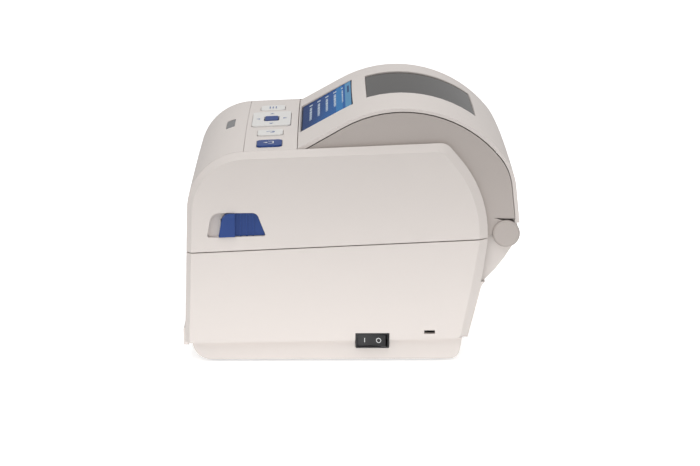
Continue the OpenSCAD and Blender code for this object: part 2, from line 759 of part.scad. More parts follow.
// Power switch: a box with a rocker that swings about an upright pin
switch_wall = 0.9;
switch_depth = 15;
switch_sink = 1;
rocker_depth = 3;
switch_back_x = inner_x - switch_depth;
switch_front_x = half_w - switch_sink;
rocker_x = inner_x - rocker_depth;
rocker_pin_d = 2.4;
rocker_tilt = 5.5;
rocker_gap = 0.3;
module switch_housing() {
    color(dark) difference() {
        block([switch_back_x, switch_front_x], switch_y, switch_z);
        block([switch_back_x + 2 * switch_wall, half_w + cut], switch_y + [1, -1] * switch_wall,
              switch_z + [1, -1] * switch_wall);
        translate([rocker_x, switch_at[0], switch_z[0] - cut])
            cylinder(h = switch_size[1] + 2 * cut, d = rocker_pin_d + 2 * run_fit);
    }
}
module power_rocker() {
    half_l = switch_size[0] / 2 - switch_wall - 2 * rocker_gap - run_fit;
    low = switch_z[0] + switch_wall + rocker_gap;
    high = switch_z[1] - switch_wall - rocker_gap;
    face = switch_front_x - rocker_x - rocker_gap;
    color(dark) translate([rocker_x, switch_at[0], 0]) {
        translate([0, 0, low]) rotate([0, 0, -rocker_tilt]) linear_extrude(high - low)
            polygon([
                [face, -half_l], [face - 4 * rocker_gap, 0], [face, half_l], [face / 2, half_l],
                [-face, half_l / 3], [-face, -half_l / 3], [face / 2, -half_l]
            ]);
        translate([0, 0, switch_z[0] + rocker_gap])
            cylinder(h = switch_size[1] - 2 * rocker_gap, d = rocker_pin_d);
    }
}

foot_inset = 21;
foot_x = half_w - foot_inset;
module feet() {
    color(dark) for (s = foot_shares) both()
        translate([foot_x, at([s, 0])[0], 0]) cylinder(h = foot_t, d = foot_d);
}

// Hinge pins run from the knuckles through the cover's lugs to the caps
module hinge_pins() {
    color(steel) both() rod(frame_x - knuckle_l, dome_x + seam, hinge_at, hinge_pin_d);
}
module hinge_caps() {
    color(grey) both() {
        rod(dome_x + seam, dome_x + seam + hinge_cap_t / 2, hinge_at, hinge_cap_d);
        translate([dome_x + seam + hinge_cap_t / 2, hinge_at[0], hinge_at[1]]) rotate([0, 90, 0])
            cylinder(h = hinge_cap_t / 2, d1 = hinge_cap_d, d2 = hinge_cap_d - hinge_cap_t);
    }
}

// Roll holders: two arms on racks that one pinion drives
roll_y = roll_at[0];
tub_floor = tub_at[1] - tub_r;
guide_lift = 2.9;
guide_t = 1.6;
guide_z = [tub_floor + guide_lift, tub_floor + guide_lift + guide_t];
rack_t = 3;
rack_z = [guide_z[1] + seam, guide_z[1] + seam + rack_t];
rack_pitch_y = tooth_size * rack_teeth / 2;
rack_depth = 6;
guide_wall = 1.5;
guide_inset = 14;
guide_half = [bay_x - guide_inset, rack_pitch_y + rack_depth + seam + guide_wall];
stud_d = 4;
arm_w = 26;
arm_x = [bay_x - holder_clear - holder_t, bay_x - holder_clear];
hub_axle_d = 6;
hub_gap = 0.4;
hub_clip_share = 1.3;
module holder_guide() {
    color(grey) {
        translate([0, roll_y, 0]) {
            block([-1, 1] * guide_half[0], [-1, 1] * guide_half[1], guide_z);
            block([-1, 1] * guide_half[0], [-1, 1] * stud_d, [tub_floor + seam, guide_z[0] + slice]);
            for (y = [-guide_half[1], guide_half[1] - guide_wall])
                block([-1, 1] * guide_half[0], [y, y + guide_wall], [guide_z[1] - slice, rack_z[1]]);
            translate([0, 0, guide_z[1] - slice]) cylinder(h = rack_z[1] - guide_z[1] + seam, d = stud_d);
        }
    }
}

// The right holder; the left one is the same part turned half round
rack_tip_gap = [9, 10];
rack_tip = [-rack_tip_gap[0], arm_x[0] - rack_tip_gap[1]];
arm_foot_z = rack_z[1] + 3 * seam;
rack_back_y = roll_y + rack_pitch_y + dedendum_share * tooth_size;
module rack_bar() {
    pitch = PI * tooth_size;
    root_y = rack_pitch_y + dedendum_share * tooth_size;
    tip_y = rack_pitch_y - addendum_share * tooth_size;
    at_pitch = pitch / 4 * tooth_slack_share;
    at_tip = at_pitch - addendum_share * tooth_size * tan(pressure_angle);
    at_root = at_pitch + dedendum_share * tooth_size * tan(pressure_angle);
    first = ceil(rack_tip[0] / pitch);
    last = floor(rack_tip[1] / pitch) - 1;
    translate([0, roll_y, rack_z[0]]) linear_extrude(rack_t) polygon([
        [rack_tip[0] - pitch / 2, rack_pitch_y + rack_depth], [rack_tip[0] - pitch / 2, root_y],
        for (k = [first : last])
            let (x = (k + 0.5) * pitch)
            each [[x - at_root, root_y], [x - at_tip, tip_y], [x + at_tip, tip_y], [x + at_root, root_y]],
        [arm_x[1], root_y], [arm_x[1], rack_pitch_y + rack_depth]
    ]);
}
module holder() {
    c = roll_at;
    color(grey) {
        rack_bar();
        block(arm_x, [rack_back_y, roll_y + rack_pitch_y + rack_depth], [rack_z[0], arm_foot_z + slice]);
        difference() {
            union() {
                across(arm_x[0], arm_x[1]) polygon([
                    [c[0] - arm_w / 2, arm_foot_z], [c[0] + rack_pitch_y + rack_depth, arm_foot_z],
                    [c[0] + hub_d / 2, c[1]], [c[0] - hub_d / 2, c[1]]
                ]);
                rod(arm_x[0], arm_x[1], c, arm_w);
            }
            rod(0, half_w, c, hub_axle_d + 2 * run_fit);
        }
    }
}
module turned_about_roll() translate([0, 2 * roll_y, 0]) rotate([0, 0, 180]) children();
module holder_right() holder();
module holder_left() turned_about_roll() holder();
module holder_hub() {
    face = arm_x[0] - hub_gap;
    color(pale) {
        rod(face - hub_l, face, roll_at, hub_d);
        rod(face - slice, arm_x[1] + 2 * seam, roll_at, hub_axle_d);
        rod(arm_x[1] + seam, arm_x[1] + 3 * seam, roll_at, hub_axle_d * hub_clip_share);
    }
}
module holder_hub_right() holder_hub();
module holder_hub_left() turned_about_roll() holder_hub();
module holder_pinion() {
    color(white) translate([0, roll_y, rack_z[0]]) difference() {
        linear_extrude(rack_t) polygon(gear_points(rack_teeth, 90));
        translate([0, 0, -cut]) cylinder(h = rack_t + 2 * cut, d = stud_d + 2 * run_fit);
    }
}

// Catch pins that the latch hooks hold
catch_d = 4;
catch_flange = 2.2;
module latch_catches() {
    color(steel) both() {
        rod(lug_x[0] - seam, inner_x, catch_at, catch_d);
        rod(inner_x - catch_flange, inner_x, catch_at, 2 * catch_d);
    }
}

// Cover top: front cover, keypad bezel and domed roll cover in one line
bezel_y = [(bezel_share[0] - 0.5) * body_l, (bezel_share[1] - 0.5) * body_l];
bezel_l = bezel_y[1] - bezel_y[0] - seam;
cover_rear_y = bezel_y[0] - seam / 2;
slot_z = platen_top + label_slot_h;
function cover_foot(y) = parting_z(y) + parting_gap / 2;
function front_corners(in) =
    let (foot = cover_foot(front_y) - 2 * in, b = at(rim_shares[1]))
    [
        [front_face_y(foot) + in, foot], [b[0] + in, b[1] - in, rim_shares[1][2] * body_h - in],
        [cover_rear_y + in, deck_z(cover_rear_y) - in], [cover_rear_y + in, cover_foot(cover_rear_y) - 2 * in]
    ];
led_slope = 20;
led_t = 2.2;
led_sink = 0.3;
front_r = rim_shares[1][2] * body_h;
front_centre = corner_centre(at(rim_shares[0]), at(rim_shares[1]), at(rim_shares[2]), front_r);
module at_led() {
    p = front_centre + polar(90 + led_slope, front_r);
    translate([0, p[0], p[1] + crown]) rotate([led_slope, 0, 0]) children();
}
module front_cover() {
    color(light) difference() {
        crowned(rounded(front_corners(0)), shell_x, swell_z);
        crowned(rounded(front_corners(wall)), half_w, swell_z);
        block(pair(label_slot_w), [front_y - cut, front_y + 3 * wall], [0, slot_z]);
        at_led() translate([0, 0, -2 * wall]) pad(led_size + [1, 1] * seam, wall / 2, 4 * wall);
    }
}
module led_window() {
    color(dark) at_led() translate([0, 0, -led_t - led_sink]) pad(led_size, wall / 2, led_t);
}

// Local frame of the deck: origin on the bezel's front edge, level with its edges
module on_deck() {
    translate([0, bezel_y[0] + seam / 2, deck_z(bezel_y[0])]) rotate([deck_tilt, 0, 0]) children();
}
// Keys by name: place across, size, then the share of the bezel's length they sit at
key_row_share = 0.475;
menu_x = menu_share * body_w;
back_x = back_share * body_w;
print_x = print_share * body_w;
key_corner = 3;
key_flange = 1;
key_lip = 1.2;
key_drop = 0.4;
nav_drop = 0.8;
board_drop = 4;
key_post_d = 5;
select_lift_share = 1.5;
nav_keymat_t = 0.5;
nav_keymat_drop = 2.5;
nav_keymat_size = [30, 16];
key_y = bezel_l * key_row_share;
module at_key(x) translate([x, key_y, 0]) children();
module keypad_bezel() {
    color(light) on_deck() difference() {
        union() {
            crowned([[0, -wall], [0, 0], [bezel_l, 0], [bezel_l, -wall]], shell_x, [-wall, 0]);
            for (x = board_x, y = [board_post_d, bezel_l - board_post_d])
                translate([x, y, -wall - board_drop]) cylinder(h = board_drop + slice, d = board_post_d);
        }
        at_key(menu_x) key_hole(small_key);
        at_key(0) key_hole(nav_size);
        at_key(back_x) key_hole(small_key);
        at_key(print_x) key_hole(print_key_size);
    }
}
board_post_d = 3;
board_x = board_shares * body_w;
module key_hole(size) translate([0, 0, -2 * wall]) pad(size + 2 * [key_gap, key_gap], key_corner, far);
module key(x, size) {
    on_deck() at_key(x) {
        translate([0, 0, -wall - key_drop - slice])
            pad(size, key_corner, crown_at(x) + key_rise + wall + key_drop);
        translate([0, 0, -wall - key_drop - key_flange]) pad(size + key_lip * [1, 1], key_corner, key_flange);
        translate([0, 0, key_travel + seam - wall - board_drop])
            cylinder(h = board_drop - key_drop - key_travel - seam, d = key_post_d);
    }
}
module menu_key() color(pale) key(menu_x, small_key);
module back_key() color(pale) key(back_x, small_key);
module print_key() color(blue) key(print_x, print_key_size);
module nav_pad() {
    color(pale) on_deck() at_key(0) difference() {
        union() {
            translate([0, 0, -wall - nav_drop - slice])
                pad(nav_size, key_corner, crown + key_rise + wall + nav_drop);
            translate([0, 0, -wall - nav_drop - key_flange])
                pad(nav_size + key_lip * [1, 1], key_corner, key_flange);
        }
        translate([0, 0, -far / 2]) pad(select_size + 4 * [key_gap, key_gap], key_corner / 2, far);
    }
}
module nav_keymat() {
    color(dark) on_deck() at_key(0) translate([0, 0, -wall - nav_keymat_drop - nav_keymat_t]) difference() {
        pad(nav_keymat_size, key_corner, nav_keymat_t);
        translate([0, 0, -cut]) cylinder(h = 3 * cut, d = key_post_d + 2 * key_gap);
    }
}
module select_key() {
    color(blue) on_deck() at_key(0) {
        translate([0, 0, -wall - key_flange - key_drop])
            pad(select_size, key_corner / 2,
                crown + select_lift_share * key_rise + wall + key_flange + key_drop);
        translate([0, 0, key_travel + seam - wall - board_drop])
            cylinder(h = board_drop - key_drop - key_travel - seam, d = key_post_d);
    }
}
module keypad_board() {
    color([0.1, 0.35, 0.2]) on_deck()
        block(board_x + pair(board_post_d), [board_post_d / 2, bezel_l - board_post_d / 2],
              [-wall - board_drop - board_t, -wall - board_drop]);
}

// Local frame of the ramp that carries the display
ramp_foot = at(dome_shares[2]);
ramp_head = at(dome_shares[3]);
ramp_tilt = atan2(ramp_head[1] - ramp_foot[1], ramp_head[0] - ramp_foot[0]);
display_start = 0.8;
glass_t = 1;
glass_sink = 0.9;
glass_top = crown_at(display_size[0] / 2) - glass_sink;
display_rim = 2.5;
module on_ramp() translate([0, ramp_foot[0], ramp_foot[1]]) rotate([ramp_tilt, 0, 0]) children();
module display_block(grow, from, to) {
    front = display_start - min(grow, display_start / 2);
    rear = display_start + display_size[1] + grow;
    on_ramp() block(pair(display_size[0] + 2 * grow), [front, rear], [from, to]);
}
glass_foot = glass_top - glass_t;
module display_glass() color(blue) display_block(0, glass_foot, glass_top);
module display_module() color(dark) display_block(display_rim, glass_foot - display_t, glass_foot);
dome_front = at(dome_shares[0])[0];
dome_r = fitted(corners(dome_shares))[4];
dome_at = corner_centre(at(dome_shares[3]), at(dome_shares[4]), at(dome_shares[5]), dome_r);
window_r = dome_r + crown_at(window_w / 2) - glass_sink;
window_t = 2;
window_play = 0.1;
module window_sector(from_r, to_r, play) {
    a = [window_angle[0] + play, window_angle[1] - play];
    polygon(concat(arc(dome_at, to_r, a[0], a[1]), arc(dome_at, from_r, a[1], a[0])));
}
module dome_cover() {
    color(light) difference() {
        crowned(outline(dome_shares), dome_x, swell_z);
        crowned(outline(dome_shares), half_w, swell_z, wall);
        translate([0, 0, -1.5 * wall]) crowned(outline(dome_shares), half_w, swell_z, wall);
        block([-half_w, half_w], [dome_front - cut, dome_front + wall + slice], [0, ramp_foot[1] - wall]);
        across(-window_w / 2 - window_play, window_w / 2 + window_play)
            window_sector(dome_r / 2, 2 * dome_r, 0);
        display_block(window_play, glass_foot - cut, 4 * crown);
        display_block(display_rim + window_play, glass_foot - display_t, glass_foot);
    }
}
module roll_window() {
    color([0.3, 0.27, 0.25, 0.6]) across(-window_w / 2, window_w / 2)
        window_sector(window_r - window_t, window_r, window_play);
}

// Inner frame of the cover: side plates with the hinge lugs, and the beam over the head
beam_z = [for (s = beam_shares) at(s)[1]];
beam_x = beam_reach_share * body_w;
beam_back_y = at(beam_shares[0])[0];
plate_lift = 1;
head_lug_inset = 4;
head_lug_t = 2.5;
head_lug = [bay_x - head_lug_inset - head_lug_t, bay_x - head_lug_inset];
head_lug_half = 5;
head_lug_drop = 3.5;
head_pin_d = 4;
head_pivot = at(head_pivot_share);
module cover_frame() {
    front = at([frame_front_share, 0])[0];
    lug_top = beam_z[0] + slice - head_pivot[1];
    color(grey) difference() {
        union() {
            both() across(lug_x[0], lug_x[1]) {
                intersection() {
                    union() {
                        dome_side();
                        polygon([
                            [front, 0], [front, deck_z(front) - 2 * wall - board_drop],
                            [ramp_foot[0], deck_z(front) - 2 * wall - board_drop],
                            [hinge_at[0] - wall, hinge_at[1] + knuckle_d / 2],
                            [hinge_at[0] - knuckle_d / 2, 0]
                        ]);
                    }
                    polygon([
                        [-far, parting_z(-far) + plate_lift],
                        [hinge_at[0], parting_z(hinge_at[0]) + plate_lift],
                        [hinge_at[0], hinge_at[1] + plate_lift], [far, hinge_at[1] + plate_lift],
                        [far, far], [-far, far]
                    ]);
                }
                translate(hinge_at) circle(d = knuckle_d);
            }
            translate([0, 0, beam_z[0]]) linear_extrude(beam_z[1] - beam_z[0]) polygon([
                [-beam_x, panel_top_y + wall + 3 * seam], [beam_x, panel_top_y + wall + 3 * seam],
                [beam_x, front - seam], [dome_x - slice, front - seam], [dome_x - slice, beam_back_y],
                [slice - dome_x, beam_back_y], [slice - dome_x, front - seam], [-beam_x, front - seam]
            ]);
            both() across(head_lug[0], head_lug[1]) translate(head_pivot)
                polygon([
                    [-head_lug_half, lug_top], [-head_lug_half, -head_lug_drop],
                    [head_lug_half, -head_lug_drop], [head_lug_half, lug_top]
                ]);
        }
        rod(-half_w, half_w, hinge_at, hinge_pin_d + 2 * run_fit);
        rod(-beam_x, beam_x, head_pivot, head_pin_d + 2 * run_fit);
    }
}
module dome_side() offset(delta = -wall - seam) polygon(outline(dome_shares));

// Side mouldings of the cover, with the return that meets the dome and the latch tray
flange_in = 0.6;
tray_wall = 1.5;
slide_gap = 0.3;
latch_plate_t = 2.5;
shank_y = [for (s = shank_shares) at(s)[0]];
shank_z = [for (s = shank_shares) at(s)[1]];
spring_z = at(spring_share)[1];
spring_d = 2.8;
spring_wire = 0.6;
spring_end_y = at(spring_share)[0];
spring_seat_l = 3;
hook_x = [lug_x[0] + seam, dome_x - slide_gap];
hook_y = [for (s = hook_shares) at([s, 0])[0]];
hook_t = 1.5;
hook_play = 0.5;
hook_reach = 6.5;
hook_z = catch_at[1] - catch_d / 2 - hook_play;
module cover_side() {
    color(light) difference() {
        union() {
            intersection() {
                union() {
                    wing_block();
                    across(dome_x + seam, inner_x + slice) difference() {
                        offset(delta = -flange_in) polygon(outline(rim_shares));
                        offset(delta = -flange_in - wall) polygon(outline(rim_shares));
                        translate([-far, -far]) square([far + ramp_foot[0], 2 * far]);
                    }
                }
                above_parting();
            }
            across(dome_x + seam, inner_x + slice) offset(delta = tray_wall) polygon(outline(latch_shares));
            block([hook_x[0] - seam, inner_x + slice], [spring_end_y - spring_seat_l, spring_end_y],
                  span(spring_z, 3 * spring_d));
        }
        across(half_w - latch_recess, half_w + cut) polygon(outline(latch_shares));
        block([0, half_w], shank_y + [-latch_travel - slide_gap, slide_gap], shank_z + [-1, 1] * slide_gap);
    }
}
module cover_side_right() cover_side();
module cover_side_left() sided(-1) cover_side();

module latch_outline() {
    intersection() {
        offset(delta = -slide_gap) polygon(outline(latch_shares));
        translate([latch_travel, 0]) offset(delta = -slide_gap) polygon(outline(latch_shares));
    }
}
grip_l = 11;
rib_w = 1;
rib_pitch = 4;
module latch() {
    back_x = half_w - latch_recess + seam;
    front_edge = at(latch_shares[0])[0] + latch_travel;
    color(blue) {
        across(back_x, back_x + latch_plate_t) latch_outline();
        across(back_x, half_w + latch_grip) intersection() {
            latch_outline();
            translate([front_edge - wall, 0]) square([grip_l + wall, far]);
        }
        for (k = [1 : 3])
            across(back_x, back_x + latch_plate_t + rib_w) intersection() {
                latch_outline();
                translate([front_edge + grip_l + k * rib_pitch - rib_w, 0]) square([rib_w, far]);
            }
        block([hook_x[1] - slice, back_x + slice], shank_y, shank_z);
        across(hook_x[0], hook_x[1]) {
            translate([hook_y[0], shank_z[0] - 2 * slide_gap])
                square([hook_y[1] - hook_y[0], shank_z[1] - shank_z[0] + 4 * slide_gap]);
            polygon([
                [hook_y[0], shank_z[0]], [hook_y[0], catch_at[1] - catch_d - hook_t],
                [catch_at[0] + hook_play, catch_at[1] - catch_d - hook_t], [catch_at[0] + hook_play, hook_z],
                [catch_at[0] - hook_reach, hook_z], [catch_at[0] - hook_reach, shank_z[0]]
            ]);
        }
    }
}
module latch_right() latch();
module latch_left() sided(-1) latch();
module latch_spring() {
    l = hook_y[0] - spring_end_y - 2 * run_fit;
    mid_x = (hook_x[0] + hook_x[1]) / 2;
    color(steel) translate([mid_x, spring_end_y + run_fit, spring_z]) rotate([-90, 0, 0])
        coil((spring_d - spring_wire) / 2, l, 6, spring_wire);
}
module latch_spring_right() latch_spring();
module latch_spring_left() sided(-1) latch_spring();

// Thermal head on its bracket, which swings on two pins under the beam
head_inset = 10;
head_half_w = bay_x - head_inset;
head_z = platen_top + head_gap;
head_t = 4;
bracket_t = 1.5;
head_l = 12;
head_y = span(platen_at[0], head_l);
head_ear_gap = 1;
head_ear_x = head_lug[0] - head_ear_gap;
head_spring_share = 0.65;
head_spring_x = head_half_w * head_spring_share;
head_spring_d = 6.4;
head_wire = 0.8;
module thermal_head() {
    color(dark) block([-1, 1] * head_half_w, head_y, [head_z, head_z + head_t]);
}
module head_bracket() {
    z = [head_z + head_t, head_z + head_t + bracket_t];
    color(steel) {
        block([-1, 1] * head_ear_x, [head_y[0], head_pivot[0] + head_pin_d], z);
        both() {
            block([head_ear_x - bracket_t, head_ear_x], span(head_pivot[0], 2 * head_pin_d),
                  [z[0], head_pivot[1] + head_pin_d - seam]);
            rod(head_ear_x - bracket_t, head_lug[1] + seam, head_pivot, head_pin_d);
        }
    }
}
module head_springs() {
    foot_z = head_z + head_t + bracket_t;
    color(steel) both() translate([head_spring_x, platen_at[0], foot_z + run_fit])
        coil((head_spring_d - head_wire) / 2, beam_z[0] - foot_z - 2 * run_fit, 6, head_wire);
}

base_chassis();
base_housing();
front_panel();
media_bay();
tear_bar();
drive_plate();
bearing_plate();
platen_bushes();
motor_body();
controller_board();
usb_socket();
power_inlet();
lock_plate();
switch_housing();
feet();
hinge_pins();
hinge_caps();
chassis_screws();
latch_catches();
holder_guide();
sensor_rail();
platen_roller();
platen_shaft();
platen_gear();
idler_gear();
motor_shaft();
motor_pinion();
holder_right();
holder_left();
holder_hub_right();
holder_hub_left();
holder_pinion();
media_sensor();
power_rocker();
dome_cover();
cover_frame();
roll_window();
front_cover();
keypad_bezel();
cover_side_right();
cover_side_left();
display_module();
display_glass();
led_window();
keypad_board();
head_bracket();
thermal_head();
head_springs();
latch_right();
latch_left();
latch_spring_right();
latch_spring_left();
menu_key();
nav_keymat();
nav_pad();
select_key();
back_key();
print_key();
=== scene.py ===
"""Looks of a desktop thermal label printer, in metres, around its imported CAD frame.

Finishes are frozen dataclasses that build node materials. Each sub-assembly is a class
whose fields hold its sizes and whose methods make its pieces. main() puts them together.
"""

import json
import logging
import math
from dataclasses import dataclass, field
from enum import Enum
from typing import Any, Mapping, Sequence, Union

import bpy
from mathutils import Euler, Matrix, Vector

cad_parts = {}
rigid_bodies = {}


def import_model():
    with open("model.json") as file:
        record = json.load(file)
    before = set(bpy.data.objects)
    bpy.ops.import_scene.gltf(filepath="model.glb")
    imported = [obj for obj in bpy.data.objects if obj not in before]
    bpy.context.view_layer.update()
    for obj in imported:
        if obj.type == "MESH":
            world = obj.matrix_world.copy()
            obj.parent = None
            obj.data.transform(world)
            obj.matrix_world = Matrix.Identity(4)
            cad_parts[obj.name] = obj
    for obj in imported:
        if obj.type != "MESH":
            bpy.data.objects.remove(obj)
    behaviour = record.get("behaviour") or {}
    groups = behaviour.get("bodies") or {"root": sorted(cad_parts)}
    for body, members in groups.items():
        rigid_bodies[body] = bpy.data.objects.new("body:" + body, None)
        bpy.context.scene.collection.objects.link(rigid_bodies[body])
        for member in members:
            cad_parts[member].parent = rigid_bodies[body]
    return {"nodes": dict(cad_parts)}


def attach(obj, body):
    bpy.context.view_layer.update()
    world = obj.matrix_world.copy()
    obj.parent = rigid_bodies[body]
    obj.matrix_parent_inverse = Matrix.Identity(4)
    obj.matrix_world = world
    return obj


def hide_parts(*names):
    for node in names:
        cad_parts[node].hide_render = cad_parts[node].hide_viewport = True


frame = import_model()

logging.basicConfig(level=logging.INFO, format="%(message)s")
log = logging.getLogger("printer")

MM = 0.001
Colour = tuple[float, float, float]
Triple = tuple[float, float, float]
Pair = tuple[float, float]
Operand = Union["Signal", float]

# The Mix node's colour sockets by place, because its other modes share their names.
MIX_FACTOR, MIX_FIRST, MIX_SECOND, MIX_RESULT = 0, 6, 7, 2


class Slot(Enum):
    """The record's material slots."""

    CASING = "casing"
    INNER = "inner_casing"
    PALE = "pale_plastic"
    BLUE = "blue_plastic"
    DARK = "dark_plastic"
    SCREEN = "screen"
    SMOKED = "smoked"
    RUBBER = "rubber"
    STEEL = "steel"
    GEAR = "gear_plastic"
    BOARD = "board"
    HEAD_METAL = "head_metal"
    HEAD_CERAMIC = "head_ceramic"


class Signal:
    """A shader socket that takes part in arithmetic with signals and numbers."""

    def __init__(self, graph: "Graph", socket: bpy.types.NodeSocket) -> None:
        self.graph = graph
        self.socket = socket

    def _math(self, operation: str, first: Operand, second: Operand = 0.0) -> "Signal":
        """Adds one math node.

        Args:
            operation: The node's operation.
            first: Its first operand.
            second: Its second operand.

        Returns:
            The node's result.
        """
        return self.graph.add("ShaderNodeMath", {"operation": operation}, {0: first, 1: second})

    def __add__(self, other: Operand) -> "Signal":
        return self._math("ADD", self, other)

    def __radd__(self, other: Operand) -> "Signal":
        return self._math("ADD", other, self)

    def __sub__(self, other: Operand) -> "Signal":
        return self._math("SUBTRACT", self, other)

    def __mul__(self, other: Operand) -> "Signal":
        return self._math("MULTIPLY", self, other)

    def __truediv__(self, other: Operand) -> "Signal":
        return self._math("DIVIDE", self, other)

    def __gt__(self, other: Operand) -> "Signal":
        return self._math("GREATER_THAN", self, other)

    def __lt__(self, other: Operand) -> "Signal":
        return self._math("LESS_THAN", self, other)

    def __mod__(self, other: Operand) -> "Signal":
        return self._math("MODULO", self, other)

    def __abs__(self) -> "Signal":
        return self._math("ABSOLUTE", self)

    def ramp(self, low: float, high: float) -> "Signal":
        """Rises smoothly from 0 at low to 1 at high.

        Args:
            low: The value that gives 0.
            high: The value that gives 1.

        Returns:
            The smooth step.
        """
        return self.graph.add(
            "ShaderNodeMapRange", {"interpolation_type": "SMOOTHSTEP"},
            {"Value": self, "From Min": low, "From Max": high},
        )

    def within(self, low: float, high: float) -> "Signal":
        """Is 1 between two values and 0 outside them.

        Args:
            low: The lower bound.
            high: The upper bound.

        Returns:
            The mask.
        """
        return (self > low) * (self < high)


class Graph:
    """A material's node tree, with one method that adds any node."""

    def __init__(self, name: str) -> None:
        self.material = bpy.data.materials.new(name)
        self.material.use_nodes = True
        self.tree = self.material.node_tree
        self.tree.nodes.clear()

    def add(
        self, kind: str, settings: Mapping[str, Any] | None = None,
        inputs: Mapping[Any, Any] | None = None, output: int | str = 0,
    ) -> Signal:
        """Adds one node.

        Args:
            kind: The node's type.
            settings: Its properties, set before its sockets.
            inputs: Its sockets by name or place, each a number, a colour or a signal.
            output: Which of its outputs comes back.

        Returns:
            That output as a signal.
        """
        node = self.tree.nodes.new(kind)
        for key, value in (settings or {}).items():
            setattr(node, key, value)
        for key, value in (inputs or {}).items():
            if isinstance(value, Signal):
                self.tree.links.new(value.socket, node.inputs[key])
            else:
                node.inputs[key].default_value = value
        return Signal(self, node.outputs[output])

    def place(self) -> Signal:
        """Returns the object's own coordinates, which are metres in the frame."""
        return self.add("ShaderNodeTexCoord", output="Object")

    def axes(self) -> tuple[Signal, Signal, Signal]:
        """Returns the three coordinates, one by one."""
        split = self.add("ShaderNodeSeparateXYZ", inputs={0: self.place()})
        outputs = split.socket.node.outputs
        return Signal(self, outputs[0]), Signal(self, outputs[1]), Signal(self, outputs[2])

    def noise(
        self, scale: float, detail: float = 2.0, stretch: Triple = (1.0, 1.0, 1.0)
    ) -> Signal:
        """Adds a noise pattern.

        Args:
            scale: Its cells per metre.
            detail: Its octaves.
            stretch: How much finer it runs along each axis.

        Returns:
            The pattern, from 0 to 1.
        """
        place = self.add("ShaderNodeMapping", inputs={"Vector": self.place(), "Scale": stretch})
        inputs = {"Vector": place, "Scale": scale, "Detail": detail}
        return self.add("ShaderNodeTexNoise", inputs=inputs)

    def blend(self, factor: Operand, first: Any, second: Any) -> Signal:
        """Mixes two colours.

        Args:
            factor: The share of the second one.
            first: A colour or a signal.
            second: A colour or a signal.

        Returns:
            The mixed colour.
        """
        sides = [side if isinstance(side, Signal) else (*side, 1.0) for side in (first, second)]
        inputs = {MIX_FACTOR: factor, MIX_FIRST: sides[0], MIX_SECOND: sides[1]}
        return self.add("ShaderNodeMix", {"data_type": "RGBA"}, inputs, MIX_RESULT)

    def bump(self, height: Signal, distance: float, strength: float) -> Signal:
        """Turns a height into a surface normal.

        Args:
            height: The height pattern.
            distance: The relief's depth in metres.
            strength: How much of it shows.

        Returns:
            The normal.
        """
        inputs = {"Height": height, "Distance": distance, "Strength": strength}
        return self.add("ShaderNodeBump", inputs=inputs, output="Normal")

    def surface(self, **inputs: Any) -> bpy.types.Material:
        """Closes the tree with a principled surface.

        Args:
            **inputs: The shader's sockets, with _ for each blank in their names.

        Returns:
            The finished material.
        """
        sockets = {key.replace("_", " "): value for key, value in inputs.items()}
        shader = self.add("ShaderNodeBsdfPrincipled", {}, sockets)
        self.add_output(shader)
        return self.material

    def add_output(self, shader: Signal) -> None:
        """Links a shader to the material's output.

        Args:
            shader: The shader's output.
        """
        output = self.tree.nodes.new("ShaderNodeOutputMaterial")
        self.tree.links.new(shader.socket, output.inputs["Surface"])


def shade(colour: Colour, factor: float) -> Colour:
    """Makes a colour lighter or darker.

    Args:
        colour: The linear colour.
        factor: What it is multiplied by.

    Returns:
        The new colour, at most 1 in each channel.
    """
    return tuple(min(1.0, channel * factor) for channel in colour)


@dataclass(frozen=True)
class Plastic:
    """A moulded plastic: fine grain, faint mottling and uneven gloss."""

    name: str
    slot: Slot
    colour: Colour
    roughness: float = 0.42
    grain: float = 0.00003
    grain_scale: float = 1500.0
    mottle: float = 0.02
    coat: float = 0.0
    specular: float = 0.45
    mottle_scale: float = 16.0
    handling_scale: float = 55.0

    def build(self) -> bpy.types.Material:
        """Returns the material."""
        graph = Graph(self.name)
        broad = graph.noise(self.mottle_scale, 2.0)
        handled = graph.noise(self.handling_scale, 4.0)
        grain = graph.noise(self.grain_scale, 3.0)
        darker, lighter = shade(self.colour, 1 - self.mottle), shade(self.colour, 1 + self.mottle)
        tone = graph.blend(broad, darker, lighter)
        specks = graph.blend(grain.ramp(0.62, 0.72) * 0.25, tone, shade(self.colour, 0.93))
        return graph.surface(
            Base_Color=specks,
            Roughness=self.roughness - 0.05 + handled * 0.1,
            Normal=graph.bump(grain + handled * 0.3, self.grain, 0.55),
            Specular_IOR_Level=self.specular,
            Coat_Weight=self.coat,
            Coat_Roughness=0.12,
        )


@dataclass(frozen=True)
class Steel:
    """A rolled or turned steel: fine lines along one axis and uneven gloss."""

    name: str
    slot: Slot
    colour: Colour = (0.56, 0.56, 0.57)
    roughness: float = 0.32
    lines: Triple = (1.0, 18.0, 18.0)

    def build(self) -> bpy.types.Material:
        """Returns the material."""
        graph = Graph(self.name)
        lines = graph.noise(220.0, 4.0, self.lines)
        stains = graph.noise(40.0, 3.0)
        return graph.surface(
            Base_Color=graph.blend(stains, shade(self.colour, 0.88), shade(self.colour, 1.1)),
            Roughness=self.roughness - 0.06 + lines * 0.14,
            Normal=graph.bump(lines, 0.00002, 0.4),
            Metallic=1.0,
        )


